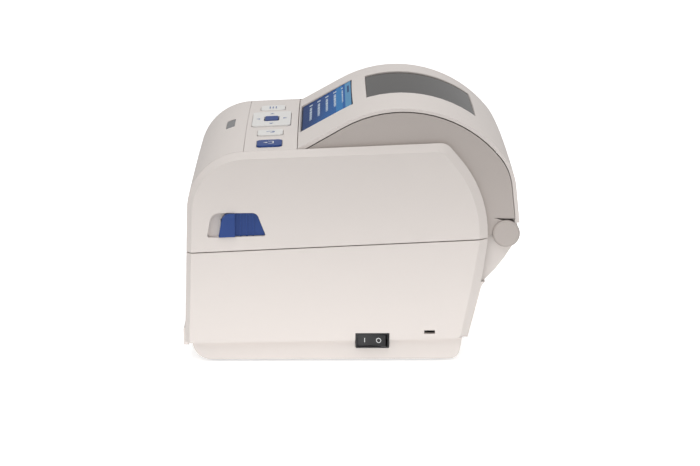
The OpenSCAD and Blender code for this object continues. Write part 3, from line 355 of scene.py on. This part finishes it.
@dataclass(frozen=True)
class Rubber:
    """A dull rubber with a ground surface."""

    name: str
    slot: Slot
    colour: Colour = (0.028, 0.028, 0.03)

    def build(self) -> bpy.types.Material:
        """Returns the material."""
        graph = Graph(self.name)
        ground = graph.noise(1800.0, 3.0, (1.0, 3.0, 3.0))
        dust = graph.noise(120.0, 4.0).ramp(0.5, 0.8)
        return graph.surface(
            Base_Color=graph.blend(dust * 0.3, self.colour, (0.09, 0.088, 0.085)),
            Roughness=0.66 + ground * 0.16,
            Normal=graph.bump(ground, 0.00004, 0.7),
            Specular_IOR_Level=0.35,
        )


@dataclass(frozen=True)
class SmokedPane:
    """A dark, glossy, slightly see-through window."""

    name: str
    slot: Slot
    colour: Colour = (0.02, 0.016, 0.013)
    alpha: float = 0.9

    def build(self) -> bpy.types.Material:
        """Returns the material."""
        graph = Graph(self.name)
        waves = graph.noise(30.0, 2.0)
        smears = graph.noise(90.0, 5.0)
        return graph.surface(
            Base_Color=graph.blend(smears, self.colour, shade(self.colour, 1.5)),
            Roughness=0.07 + smears * 0.06,
            Normal=graph.bump(waves, 0.00005, 0.15),
            Alpha=self.alpha,
            Specular_IOR_Level=0.2,
        )


@dataclass(frozen=True)
class Circuit:
    """A lacquered board with lighter tracks, and dark parts that stand above its face."""

    name: str
    slot: Slot
    face_height: float = 1.0
    colour: Colour = (0.012, 0.13, 0.045)
    track_pitch: Pair = (3.0 * MM, 5.0 * MM)
    track_width: Pair = (0.6 * MM, 0.5 * MM)
    wander: float = 4.0 * MM

    def build(self) -> bpy.types.Material:
        """Returns the material."""
        graph = Graph(self.name)
        x, y, z = graph.axes()
        wander = graph.noise(60.0, 1.0) * self.wander
        across = abs((x + wander) % self.track_pitch[0]) < self.track_width[0]
        along = abs((y + wander) % self.track_pitch[1]) < self.track_width[1]
        lacquer = graph.blend((across + along) * 0.5, self.colour, (0.05, 0.3, 0.1))
        raised = z > self.face_height
        grain = graph.noise(900.0, 2.0)
        return graph.surface(
            Base_Color=graph.blend(raised, lacquer, (0.02, 0.02, 0.022)),
            Roughness=0.3 + raised * 0.25 + grain * 0.05,
            Normal=graph.bump(grain, 0.00003, 0.3),
        )


@dataclass(frozen=True)
class Screen:
    """A lit colour display: a blue ground, a pale heading and plain rows of bars.

    Pairs are bands: the plain ones run up from the picture's foot, or up from a row's foot
    for words and marks, and those that end in _across run to both sides of its middle.
    """

    name: str
    slot: Slot
    origin: Pair
    tilt: float
    half_width: float = 43.7 * MM
    start: float = 0.8 * MM
    length: float = 39.0 * MM
    border: float = 1.3 * MM
    heading: Pair = (33.6 * MM, 38.4 * MM)
    title: Pair = (35.2 * MM, 36.7 * MM)
    title_across: Pair = (-30 * MM, -6 * MM)
    picked: Pair = (26.6 * MM, 31.6 * MM)
    rows: Pair = (4.0 * MM, 32.0 * MM)
    row_pitch: float = 6.2 * MM
    row_shift: float = 1.5 * MM
    words: Pair = (1.6 * MM, 3.3 * MM)
    words_across: Pair = (-24 * MM, 18 * MM)
    words_per_metre: float = 420.0
    marks: Pair = (1.2 * MM, 3.7 * MM)
    marks_across: Pair = (-34 * MM, -30 * MM)
    glow: float = 0.52

    def ground(self, graph: Graph, x: Signal, share: Signal) -> Signal:
        """Blends the blue ground, which brightens to the rear and the right.

        Args:
            graph: The material's tree.
            x: The place across the picture.
            share: The place along it, as a share of its length.

        Returns:
            The ground's colour.
        """
        blue = graph.blend(share.ramp(0.0, 1.0), (0.004, 0.045, 0.2), (0.01, 0.12, 0.46))
        sweep = share + x / self.half_width * 0.25 + graph.noise(9.0, 1.0) * 0.3
        return graph.blend(sweep.ramp(0.35, 0.95) * 0.5, blue, (0.006, 0.17, 0.52))

    def picture(self, graph: Graph) -> Signal:
        """Lays the rows, the heading and the rim over the ground.

        Args:
            graph: The material's tree.

        Returns:
            The picture's colour.
        """
        x, y, z = graph.axes()
        cos, sin = math.cos(self.tilt), math.sin(self.tilt)
        along = (y - self.origin[0]) * cos + (z - self.origin[1]) * sin - self.start
        share = along / self.length
        row = (along + self.row_shift) % self.row_pitch
        listed = along.within(*self.rows)
        spaced = graph.noise(1.0, 0.0, (self.words_per_metre, 0.0, 0.0)) > 0.42
        words = row.within(*self.words) * listed * x.within(*self.words_across) * spaced
        marks = row.within(*self.marks) * listed * x.within(*self.marks_across)
        title = along.within(*self.title) * x.within(*self.title_across)
        rim = (abs(x) > self.half_width - self.border) + (share < 0.03) + (share > 0.975)
        layers = (
            (along.within(*self.picked) * 0.75, (0.03, 0.28, 0.66)),
            (along.within(*self.heading) * 0.85, (0.14, 0.42, 0.7)),
            ((words + marks) * 0.85, (0.72, 0.84, 0.95)),
            (title * 0.9, (0.01, 0.05, 0.2)),
            (rim, (0.004, 0.012, 0.05)),
        )
        picture = self.ground(graph, x, share)
        for mask, colour in layers:
            picture = graph.blend(mask, picture, colour)
        return picture

    def build(self) -> bpy.types.Material:
        """Returns the material."""
        graph = Graph(self.name)
        picture = self.picture(graph)
        smears = graph.noise(70.0, 4.0)
        return graph.surface(
            Base_Color=graph.blend(0.9, picture, (0.0, 0.0, 0.0)),
            Emission_Color=picture,
            Emission_Strength=self.glow,
            Roughness=0.2 + smears * 0.08,
            Specular_IOR_Level=0.01,
        )


Finish = Union[Plastic, Steel, Rubber, SmokedPane, Circuit, Screen]


class Paintbox:
    """Builds each finish once and hands out its material."""

    def __init__(self) -> None:
        self._made: dict[Finish, bpy.types.Material] = {}

    def material(self, finish: Finish) -> bpy.types.Material:
        """Returns a finish's material.

        Args:
            finish: The finish.

        Returns:
            The one material made from it.
        """
        if finish not in self._made:
            self._made[finish] = finish.build()
        return self._made[finish]

    def coat(self, piece: bpy.types.Object, finish: Finish) -> None:
        """Gives an object one material.

        Args:
            piece: The object.
            finish: Its finish.
        """
        piece.data.materials.clear()
        piece.data.materials.append(self.material(finish))


PAINT = Paintbox()
CASING = Plastic("casing_satin", Slot.CASING, (0.74, 0.685, 0.65), roughness=0.5, specular=0.35)
INNER = Plastic("inner_casing_matt", Slot.INNER, (0.5, 0.45, 0.42), roughness=0.5, specular=0.35)
PALE = Plastic("pale_key_satin", Slot.PALE, (0.8, 0.785, 0.76), roughness=0.36, grain=0.00002)
BLUE = Plastic(
    "blue_satin", Slot.BLUE, (0.018, 0.058, 0.24), roughness=0.45, grain_scale=1300.0,
    mottle=0.06, specular=0.3,
)
DARK = Plastic(
    "dark_satin", Slot.DARK, (0.018, 0.018, 0.02), roughness=0.38, grain_scale=1300.0, mottle=0.1,
)
DARK_PANE = Plastic(
    "dark_pane", Slot.DARK, (0.012, 0.012, 0.016), roughness=0.12, grain=0.000005,
    grain_scale=600.0, mottle=0.1, coat=0.5,
)
GEAR = Plastic(
    "gear_smooth", Slot.GEAR, (0.76, 0.75, 0.7), roughness=0.34, grain=0.00001, grain_scale=900.0,
)
MOTOR_BLACK = Plastic(
    "motor_lacquer", Slot.HEAD_METAL, (0.03, 0.03, 0.034), roughness=0.35, grain=0.00002,
    grain_scale=700.0, mottle=0.1, coat=0.3,
)
CERAMIC = Plastic(
    "head_glaze", Slot.HEAD_CERAMIC, (0.13, 0.105, 0.085), roughness=0.16, grain=0.000005,
    grain_scale=500.0, mottle=0.05, coat=0.6,
)
PRINT_WHITE = Plastic("mark_ink", Slot.PALE, (0.75, 0.76, 0.76), roughness=0.5, grain=0.00001)
PRINT_BLUE = Plastic("mark_ink_blue", Slot.BLUE, (0.1, 0.16, 0.36), roughness=0.5, grain=0.00001)
STEEL = Steel("steel_rolled", Slot.STEEL)
TURNED = Steel("steel_turned", Slot.STEEL, (0.6, 0.6, 0.61), roughness=0.24, lines=(14.0, 1.0, 1.0))
RUBBER = Rubber("rubber_ground", Slot.RUBBER)
SMOKED = SmokedPane("smoked_pane", Slot.SMOKED)


def select_only(piece: bpy.types.Object) -> None:
    """Makes one object the only selected and the active one.

    Args:
        piece: The object.
    """
    bpy.ops.object.select_all(action="DESELECT")
    piece.select_set(True)
    bpy.context.view_layer.objects.active = piece


def apply_modifier(piece: bpy.types.Object, kind: str, **settings: Any) -> None:
    """Adds a modifier and applies it at once.

    Args:
        piece: The object.
        kind: The modifier's type.
        **settings: Its properties.
    """
    select_only(piece)
    bpy.ops.object.modifier_add(type=kind)
    modifier = piece.modifiers[-1]
    for key, value in settings.items():
        setattr(modifier, key, value)
    bpy.ops.object.modifier_apply(modifier=modifier.name)


def settle(piece: bpy.types.Object, name: str, body: str, finish: Finish) -> bpy.types.Object:
    """Names a finished piece, coats it and hangs it on its body.

    Args:
        piece: The object.
        name: Its name.
        body: The CAD body it moves with.
        finish: Its finish.

    Returns:
        The same object.
    """
    piece.name = name
    piece.data.name = name
    PAINT.coat(piece, finish)
    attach(piece, body)
    log.info("%s: %d faces on %s", name, len(piece.data.polygons), body)
    return piece


@dataclass(frozen=True)
class Moulding:
    """A visible moulding: a CAD node copied, cleaned and given soft edges.

    A wall with several openings is split into convex faces first, so that the soft edges
    don't fold its one large face.
    """

    node: str
    name: str
    body: str
    finish: Finish
    edge: float = 0.4 * MM
    rounds: int = 2
    sharp: float = 38.0
    smooth: float = 32.0
    weld: float = 0.01 * MM
    flat: float = 0.25
    convex: bool = False

    def build(self) -> bpy.types.Object:
        """Returns the piece that stands for the node."""
        select_only(frame["nodes"][self.node])
        bpy.ops.object.duplicate()
        piece = bpy.context.view_layer.objects.active
        bpy.ops.object.parent_clear(type="CLEAR_KEEP_TRANSFORM")
        for key in list(piece.keys()):
            del piece[key]
        bpy.ops.object.transform_apply(location=True, rotation=True, scale=True)
        bpy.ops.mesh.customdata_custom_splitnormals_clear()
        bpy.ops.object.mode_set(mode="EDIT")
        bpy.ops.mesh.select_all(action="SELECT")
        bpy.ops.mesh.remove_doubles(threshold=self.weld)
        bpy.ops.mesh.dissolve_limited(angle_limit=math.radians(self.flat))
        if self.convex:
            bpy.ops.mesh.vert_connect_concave()
        bpy.ops.object.mode_set(mode="OBJECT")
        if self.edge:
            apply_modifier(
                piece, "BEVEL", width=self.edge, segments=self.rounds, use_clamp_overlap=True,
                limit_method="ANGLE", angle_limit=math.radians(self.sharp),
                miter_outer="MITER_ARC",
            )
        select_only(piece)
        bpy.ops.object.shade_smooth_by_angle(angle=math.radians(self.smooth))
        apply_modifier(piece, "WEIGHTED_NORMAL", keep_sharp=True)
        settle(piece, self.name, self.body, self.finish)
        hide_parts(self.node)
        return piece


@dataclass(frozen=True)
class Plane:
    """A local work plane on the object's surface."""

    origin: Vector
    turn: Euler

    def matrix(self) -> Matrix:
        """Returns the way from the plane to the frame."""
        return Matrix.Translation(self.origin) @ self.turn.to_matrix().to_4x4()

    def lay(
        self, piece: bpy.types.Object, x: float, y: float, z: float, spin: float = 0.0
    ) -> None:
        """Lays an object on the plane and applies its place to its mesh.

        Args:
            piece: The object, made flat around its own origin.
            x: Its place across the plane.
            y: Its place along the plane.
            z: Its height over the plane.
            spin: Its turn in the plane, in radians.
        """
        local = Matrix.Translation((x, y, z)) @ Matrix.Rotation(spin, 4, "Z")
        select_only(piece)
        piece.matrix_world = self.matrix() @ local
        bpy.ops.object.transform_apply(location=True, rotation=True, scale=True)


@dataclass(frozen=True)
class Mark:
    """Thin printed signs, each one a low relief on a plane."""

    plane: Plane
    body: str
    finish: Finish
    relief: float = 0.12 * MM
    weld: float = 0.005 * MM
    ring_steps: int = 28

    def bar(
        self, name: str, at: Sequence[float], size: Pair, spin: float = 0.0
    ) -> bpy.types.Object:
        """Adds a straight stroke with round ends.

        Args:
            name: The piece's name.
            at: Its place on the plane.
            size: Its length and width.
            spin: Its turn in the plane.

        Returns:
            The piece.
        """
        bpy.ops.mesh.primitive_cube_add(size=1.0, location=(0.0, 0.0, 0.0))
        piece = bpy.context.view_layer.objects.active
        piece.scale = (size[0], size[1], self.relief)
        bpy.ops.object.transform_apply(location=False, rotation=False, scale=True)
        apply_modifier(piece, "BEVEL", width=self.relief / 3, segments=2)
        self.plane.lay(piece, at[0], at[1], at[2], spin)
        return settle(piece, name, self.body, self.finish)

    def arrow(
        self, name: str, at: Sequence[float], radius: float, heading: float
    ) -> bpy.types.Object:
        """Adds a solid arrowhead.

        Args:
            name: The piece's name.
            at: Its place on the plane.
            radius: Its size from centre to tip.
            heading: The direction of its tip, in radians from the plane's X.

        Returns:
            The piece.
        """
        bpy.ops.mesh.primitive_cylinder_add(vertices=3, radius=radius, depth=self.relief)
        piece = bpy.context.view_layer.objects.active
        apply_modifier(piece, "BEVEL", width=self.relief / 3, segments=2)
        self.plane.lay(piece, at[0], at[1], at[2], heading - math.pi / 2)
        return settle(piece, name, self.body, self.finish)

    def ring(
        self, name: str, at: Sequence[float], radius: float, width: float,
        sweep: float = math.tau, start: float = 0.0,
    ) -> bpy.types.Object:
        """Adds a ring or a part of one.

        Args:
            name: The piece's name.
            at: Its centre on the plane.
            radius: Its middle radius.
            width: Its stroke.
            sweep: The angle that it covers.
            start: The direction that it starts at.

        Returns:
            The piece.
        """
        upright = (math.pi / 2, 0.0, 0.0)
        bpy.ops.mesh.primitive_plane_add(size=1.0, location=(radius, 0.0, 0.0), rotation=upright)
        piece = bpy.context.view_layer.objects.active
        piece.scale = (width, self.relief, 1.0)
        bpy.ops.object.transform_apply(location=True, rotation=True, scale=True)
        bpy.ops.object.mode_set(mode="EDIT")
        bpy.ops.mesh.select_all(action="SELECT")
        bpy.ops.mesh.spin(
            steps=self.ring_steps, angle=sweep, center=(0.0, 0.0, 0.0), axis=(0.0, 0.0, 1.0)
        )
        bpy.ops.mesh.select_all(action="SELECT")
        bpy.ops.mesh.remove_doubles(threshold=self.weld)
        bpy.ops.mesh.normals_make_consistent(inside=False)
        bpy.ops.object.mode_set(mode="OBJECT")
        self.plane.lay(piece, at[0], at[1], at[2], start)
        return settle(piece, name, self.body, self.finish)


@dataclass(frozen=True)
class Housing:
    """The base's mouldings: tray, housing, front panel, feet and hinge caps."""

    edge: float = 0.5 * MM
    fine_edge: float = 0.3 * MM

    def build(self) -> None:
        """Makes the pieces."""
        shells = (
            Moulding("base_chassis", "base_tray", "base", CASING, self.edge),
            Moulding("base_housing", "base_shell", "base", CASING, self.fine_edge, convex=True),
            Moulding("front_panel", "front_fascia", "base", CASING, self.fine_edge),
            Moulding("hinge_caps", "hinge_covers", "base", INNER, self.fine_edge, sharp=30.0),
            Moulding("feet", "rubber_feet", "base", RUBBER, self.fine_edge),
        )
        for shell in shells:
            shell.build()


@dataclass(frozen=True)
class Cover:
    """The hinged cover: dome, inner frame, side mouldings, front and panes."""

    edge: float = 0.45 * MM
    pane_edge: float = 0.25 * MM

    def build(self) -> None:
        """Makes the pieces."""
        shells = (
            Moulding("dome_cover", "roll_dome", "cover", CASING, self.edge),
            Moulding("cover_frame", "dome_sides", "cover", INNER, self.edge),
            Moulding("front_cover", "cover_nose", "cover", CASING, self.edge),
            Moulding("cover_side_right", "side_wing_right", "cover", CASING, self.edge),
            Moulding("cover_side_left", "side_wing_left", "cover", CASING, self.edge),
            Moulding("roll_window", "roll_pane", "cover", SMOKED, self.pane_edge),
            Moulding("led_window", "status_pane", "cover", DARK_PANE, self.pane_edge),
        )
        for shell in shells:
            shell.build()


@dataclass(frozen=True)
class Latches:
    """The two blue side latches."""

    edge: float = 0.5 * MM

    def build(self) -> None:
        """Makes the pieces."""
        for side in ("right", "left"):
            piece, body = f"slide_latch_{side}", f"{side}_latch"
            Moulding(f"latch_{side}", piece, body, BLUE, self.edge, rounds=3).build()


@dataclass(frozen=True)
class Keypad:
    """The bezel with its keys and their printed signs."""

    origin: Vector = field(default_factory=lambda: Vector((0.0, -68.156 * MM, 139.003 * MM)))
    tilt: float = math.radians(2.442)
    row: float = 16.01 * MM
    menu_x: float = -42.0 * MM
    back_x: float = 41.0 * MM
    print_x: float = 68.0 * MM
    small_top: float = 2.96 * MM
    print_top: float = 1.77 * MM
    pad_top: float = 3.7 * MM
    pad_reach: float = 16.0 * MM
    pad_depth: float = 8.6 * MM
    pad_arrow: float = 1.7 * MM
    stroke: float = 0.7 * MM
    menu_length: float = 6.4 * MM
    menu_pitch: float = 2.1 * MM
    back_radius: float = 2.5 * MM
    back_start: float = math.radians(-110)
    back_sweep: float = math.radians(250)
    back_arrow: float = 1.5 * MM
    sheet_width: float = 7.0 * MM
    sheet_rear: float = 2.4 * MM
    sheet_reach: float = 3.2 * MM
    sheet_side: float = 3.2 * MM
    sheet_middle: float = 0.9 * MM
    print_arrow: float = 1.8 * MM
    print_arrow_front: float = 2.2 * MM
    edge: float = 0.6 * MM
    bezel_edge: float = 0.35 * MM
    select_edge: float = 0.45 * MM

    def plane(self) -> Plane:
        """Returns the deck's work plane."""
        return Plane(self.origin, Euler((self.tilt, 0.0, 0.0)))

    def keys(self) -> None:
        """Makes the bezel and its keys."""
        Moulding("keypad_bezel", "key_bezel", "cover", CASING, self.bezel_edge).build()
        Moulding("menu_key", "key_menu", "menu", PALE, self.edge, rounds=3).build()
        Moulding("back_key", "key_back", "back", PALE, self.edge, rounds=3).build()
        Moulding("print_key", "key_print", "print", BLUE, self.edge, rounds=3).build()
        Moulding("nav_pad", "key_four_way", "nav", PALE, self.edge, rounds=3).build()
        Moulding("select_key", "key_select", "select", BLUE, self.select_edge, rounds=3).build()

    def pad_signs(self) -> None:
        """Makes the four arrows of the pad."""
        signs = Mark(self.plane(), "nav", PRINT_BLUE)
        places = {
            "arrow_right": (self.pad_reach, 0.0, 0.0),
            "arrow_rear": (0.0, self.pad_depth, math.pi / 2),
            "arrow_left": (-self.pad_reach, 0.0, math.pi),
            "arrow_front": (0.0, -self.pad_depth, -math.pi / 2),
        }
        for name, (x, y, heading) in places.items():
            signs.arrow(name, (x, self.row + y, self.pad_top), self.pad_arrow, heading)

    def menu_sign(self) -> None:
        """Makes the menu key's three strokes."""
        signs = Mark(self.plane(), "menu", PRINT_BLUE)
        for index in range(3):
            place = (self.menu_x, self.row + (index - 1) * self.menu_pitch, self.small_top)
            signs.bar(f"menu_stroke_{index + 1}", place, (self.menu_length, self.stroke))

    def back_sign(self) -> None:
        """Makes the back key's turning arrow."""
        signs = Mark(self.plane(), "back", PRINT_BLUE)
        centre = (self.back_x, self.row, self.small_top)
        radius, end = self.back_radius, self.back_start + self.back_sweep
        signs.ring("back_sweep", centre, radius, self.stroke, self.back_sweep, self.back_start)
        tip = (centre[0] + radius * math.cos(end), centre[1] + radius * math.sin(end), centre[2])
        signs.arrow("back_tip", tip, self.back_arrow, end + math.pi / 2)

    def print_sign(self) -> None:
        """Makes the print key's sheet and arrow."""
        signs = Mark(self.plane(), "print", PRINT_WHITE)
        x, y, z = self.print_x, self.row, self.print_top
        rear = (x, y + self.sheet_rear, z)
        signs.bar("print_sheet_rear", rear, (self.sheet_width, self.stroke))
        for side, way in (("left", -1), ("right", 1)):
            place = (x + way * self.sheet_reach, y + self.sheet_middle, z)
            signs.bar(f"print_sheet_{side}", place, (self.stroke, self.sheet_side))
        signs.arrow("print_arrow", (x, y - self.print_arrow_front, z), self.print_arrow, -math.pi / 2)

    def build(self) -> None:
        """Makes the pieces."""
        self.keys()
        self.pad_signs()
        self.menu_sign()
        self.back_sign()
        self.print_sign()


@dataclass(frozen=True)
class Display:
    """The colour display in the dome's ramp."""

    foot: Pair = (-32.497 * MM, 140.608 * MM)
    tilt: float = math.radians(29.815)
    edge: float = 0.3 * MM

    def build(self) -> None:
        """Makes the piece."""
        lit = Screen("display_lit", Slot.SCREEN, self.foot, self.tilt)
        Moulding("display_glass", "display_face", "cover", lit, self.edge).build()


@dataclass(frozen=True)
class PowerSwitch:
    """The switch housing with its rocker and the two signs on it."""

    pivot: Vector = field(default_factory=lambda: Vector((82.0 * MM, 13.62 * MM, 14.87 * MM)))
    rest: float = math.radians(-5.5)
    face: float = 5.7 * MM
    dish: float = 1.2 * MM
    half_length: float = 9.05 * MM
    sign: float = 2.9 * MM
    bar_stroke: float = 0.45 * MM
    ring_stroke: float = 0.4 * MM
    case_edge: float = 0.3 * MM
    rocker_edge: float = 0.35 * MM

    def half(self, end: int) -> Plane:
        """Returns the work plane on one half of the rocker.

        Args:
            end: -1 for the front half, 1 for the rear one.

        Returns:
            The plane, with X to the rear and Y up.
        """
        lean = self.rest - end * math.atan2(self.dish, self.half_length)
        local = Vector((self.face - self.dish / 2, end * self.half_length / 2, 0.0))
        local.rotate(Euler((0.0, 0.0, self.rest)))
        return Plane(self.pivot + local, Euler((math.pi / 2, 0.0, math.pi / 2 + lean)))

    def build(self) -> None:
        """Makes the pieces."""
        Moulding("switch_housing", "switch_case", "base", DARK, self.case_edge).build()
        edge = self.rocker_edge
        Moulding("power_rocker", "switch_rocker", "rocker", DARK, edge, rounds=3).build()
        middle = (0.0, 0.0, 0.0)
        front, rear = (Mark(self.half(end), "rocker", PRINT_WHITE) for end in (-1, 1))
        front.bar("sign_on", middle, (self.bar_stroke, self.sign))
        rear.ring("sign_off", middle, self.sign / 2, self.ring_stroke)


@dataclass(frozen=True)
class Works:
    """Everything inside, whose CAD shapes stay and get their finishes."""

    board_face: float = 9.7 * MM

    def finishes(self) -> dict[Finish, tuple[str, ...]]:
        """Returns the CAD nodes that each finish goes on."""
        return {
            INNER: ("media_bay", "holder_guide", "holder_right", "holder_left"),
            PALE: ("holder_hub_right", "holder_hub_left"),
            GEAR: ("platen_gear", "idler_gear", "motor_pinion", "holder_pinion"),
            DARK: ("display_module", "media_sensor", "platen_bushes", "power_inlet"),
            RUBBER: ("platen_roller", "nav_keymat"),
            MOTOR_BLACK: ("motor_body",),
            CERAMIC: ("thermal_head",),
            Circuit("controller_lacquer", Slot.BOARD, self.board_face): ("controller_board",),
            Circuit("keypad_lacquer", Slot.BOARD): ("keypad_board",),
            TURNED: (
                "platen_shaft", "motor_shaft", "hinge_pins", "sensor_rail", "latch_catches",
                "chassis_screws",
            ),
            STEEL: (
                "tear_bar", "drive_plate", "bearing_plate", "usb_socket", "lock_plate",
                "head_bracket", "head_springs", "latch_spring_right", "latch_spring_left",
            ),
        }

    def build(self) -> None:
        """Coats the nodes."""
        for finish, nodes in self.finishes().items():
            for node in nodes:
                PAINT.coat(frame["nodes"][node], finish)
                log.info("%s: coated with %s", node, finish.name)


@dataclass(frozen=True)
class SoftBox:
    """A large soft lamp that looks at a point. Its spread is the angle that it lights."""

    name: str
    place: Triple
    aim: Triple
    size: Pair
    power: float
    spread: float = math.pi

    def build(self) -> None:
        """Makes the lamp."""
        bpy.ops.object.light_add(type="AREA", location=self.place)
        lamp = bpy.context.view_layer.objects.active
        lamp.name = self.name
        way = Vector(self.aim) - Vector(self.place)
        lamp.rotation_euler = way.to_track_quat("-Z", "Y").to_euler()
        lamp.data.shape = "RECTANGLE"
        lamp.data.size, lamp.data.size_y = self.size
        lamp.data.energy = self.power
        lamp.data.spread = self.spread
        lamp.visible_camera = False


@dataclass(frozen=True)
class Studio:
    """White floor, plain sky, soft lamps and the photograph's camera."""

    eye: Triple = (1.50551, -0.01369, 0.44471)
    pitch: float = math.radians(14.18)
    yaw: float = math.radians(-0.52)
    lens: float = 118.0
    sensor: float = 36.0
    sight: Pair = (0.05, 60.0)
    picture: tuple[int, int] = (700, 466)
    sky: float = 0.5
    floor_size: float = 24.0
    floor_glow: float = 0.6

    def camera(self) -> None:
        """Makes the camera."""
        turn = (math.pi / 2 - self.pitch, 0.0, math.pi / 2 + self.yaw)
        bpy.ops.object.camera_add(location=self.eye, rotation=turn)
        camera = bpy.context.view_layer.objects.active
        camera.data.sensor_width = self.sensor
        camera.data.lens = self.lens
        camera.data.clip_start, camera.data.clip_end = self.sight
        scene = bpy.context.scene
        scene.camera = camera
        scene.render.resolution_x, scene.render.resolution_y = self.picture
        scene.render.resolution_percentage = 100
        scene.view_settings.view_transform = "Standard"

    def floor(self) -> None:
        """Makes the floor, whose glow only the camera sees, so that it lights nothing."""
        bpy.ops.mesh.primitive_plane_add(size=self.floor_size, location=(0.0, 0.0, 0.0))
        floor = bpy.context.view_layer.objects.active
        floor.name = "floor"
        graph = Graph("floor_paper")
        seen = graph.add("ShaderNodeLightPath", output="Is Camera Ray")
        glow = graph.blend(seen, (0.0, 0.0, 0.0), (1.0, 1.0, 1.0))
        fibre = graph.noise(300.0, 3.0)
        material = graph.surface(
            Base_Color=graph.blend(fibre, (0.93, 0.93, 0.93), (0.96, 0.96, 0.96)),
            Roughness=0.75 + fibre * 0.1,
            Emission_Color=glow,
            Emission_Strength=self.floor_glow,
            Specular_IOR_Level=0.2,
        )
        floor.data.materials.append(material)

    def sky_light(self) -> None:
        """Makes the plain white sky."""
        world = bpy.data.worlds.new("sky")
        world.use_nodes = True
        background = world.node_tree.nodes["Background"]
        background.inputs["Color"].default_value = (1.0, 1.0, 1.0, 1.0)
        background.inputs["Strength"].default_value = self.sky
        bpy.context.scene.world = world

    def lamps(self) -> None:
        """Makes the lamps."""
        boxes = (
            SoftBox(
                "lamp_key", place=(0.75, -0.25, 1.3), aim=(0.0, 0.0, 0.1), size=(0.9, 0.9),
                power=5.8,
            ),
            SoftBox(
                "lamp_top", place=(-0.3, 0.3, 1.4), aim=(0.0, 0.02, 0.1), size=(1.1, 1.1),
                power=4.8,
            ),
            SoftBox(
                "lamp_low", place=(1.0, 0.05, 0.06), aim=(0.09, 0.0, -0.03), size=(1.2, 0.1),
                power=0.33, spread=math.radians(24),
            ),
        )
        for box in boxes:
            box.build()

    def build(self) -> None:
        """Makes the studio."""
        self.camera()
        self.sky_light()
        self.floor()
        self.lamps()


def main() -> None:
    """Builds the printer and its studio."""
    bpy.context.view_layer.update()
    for assembly in (Housing(), Cover(), Latches(), Keypad(), Display(), PowerSwitch(), Works()):
        log.info("building %s", type(assembly).__name__)
        assembly.build()
    Studio().build()


if __name__ == "__main__":
    main()
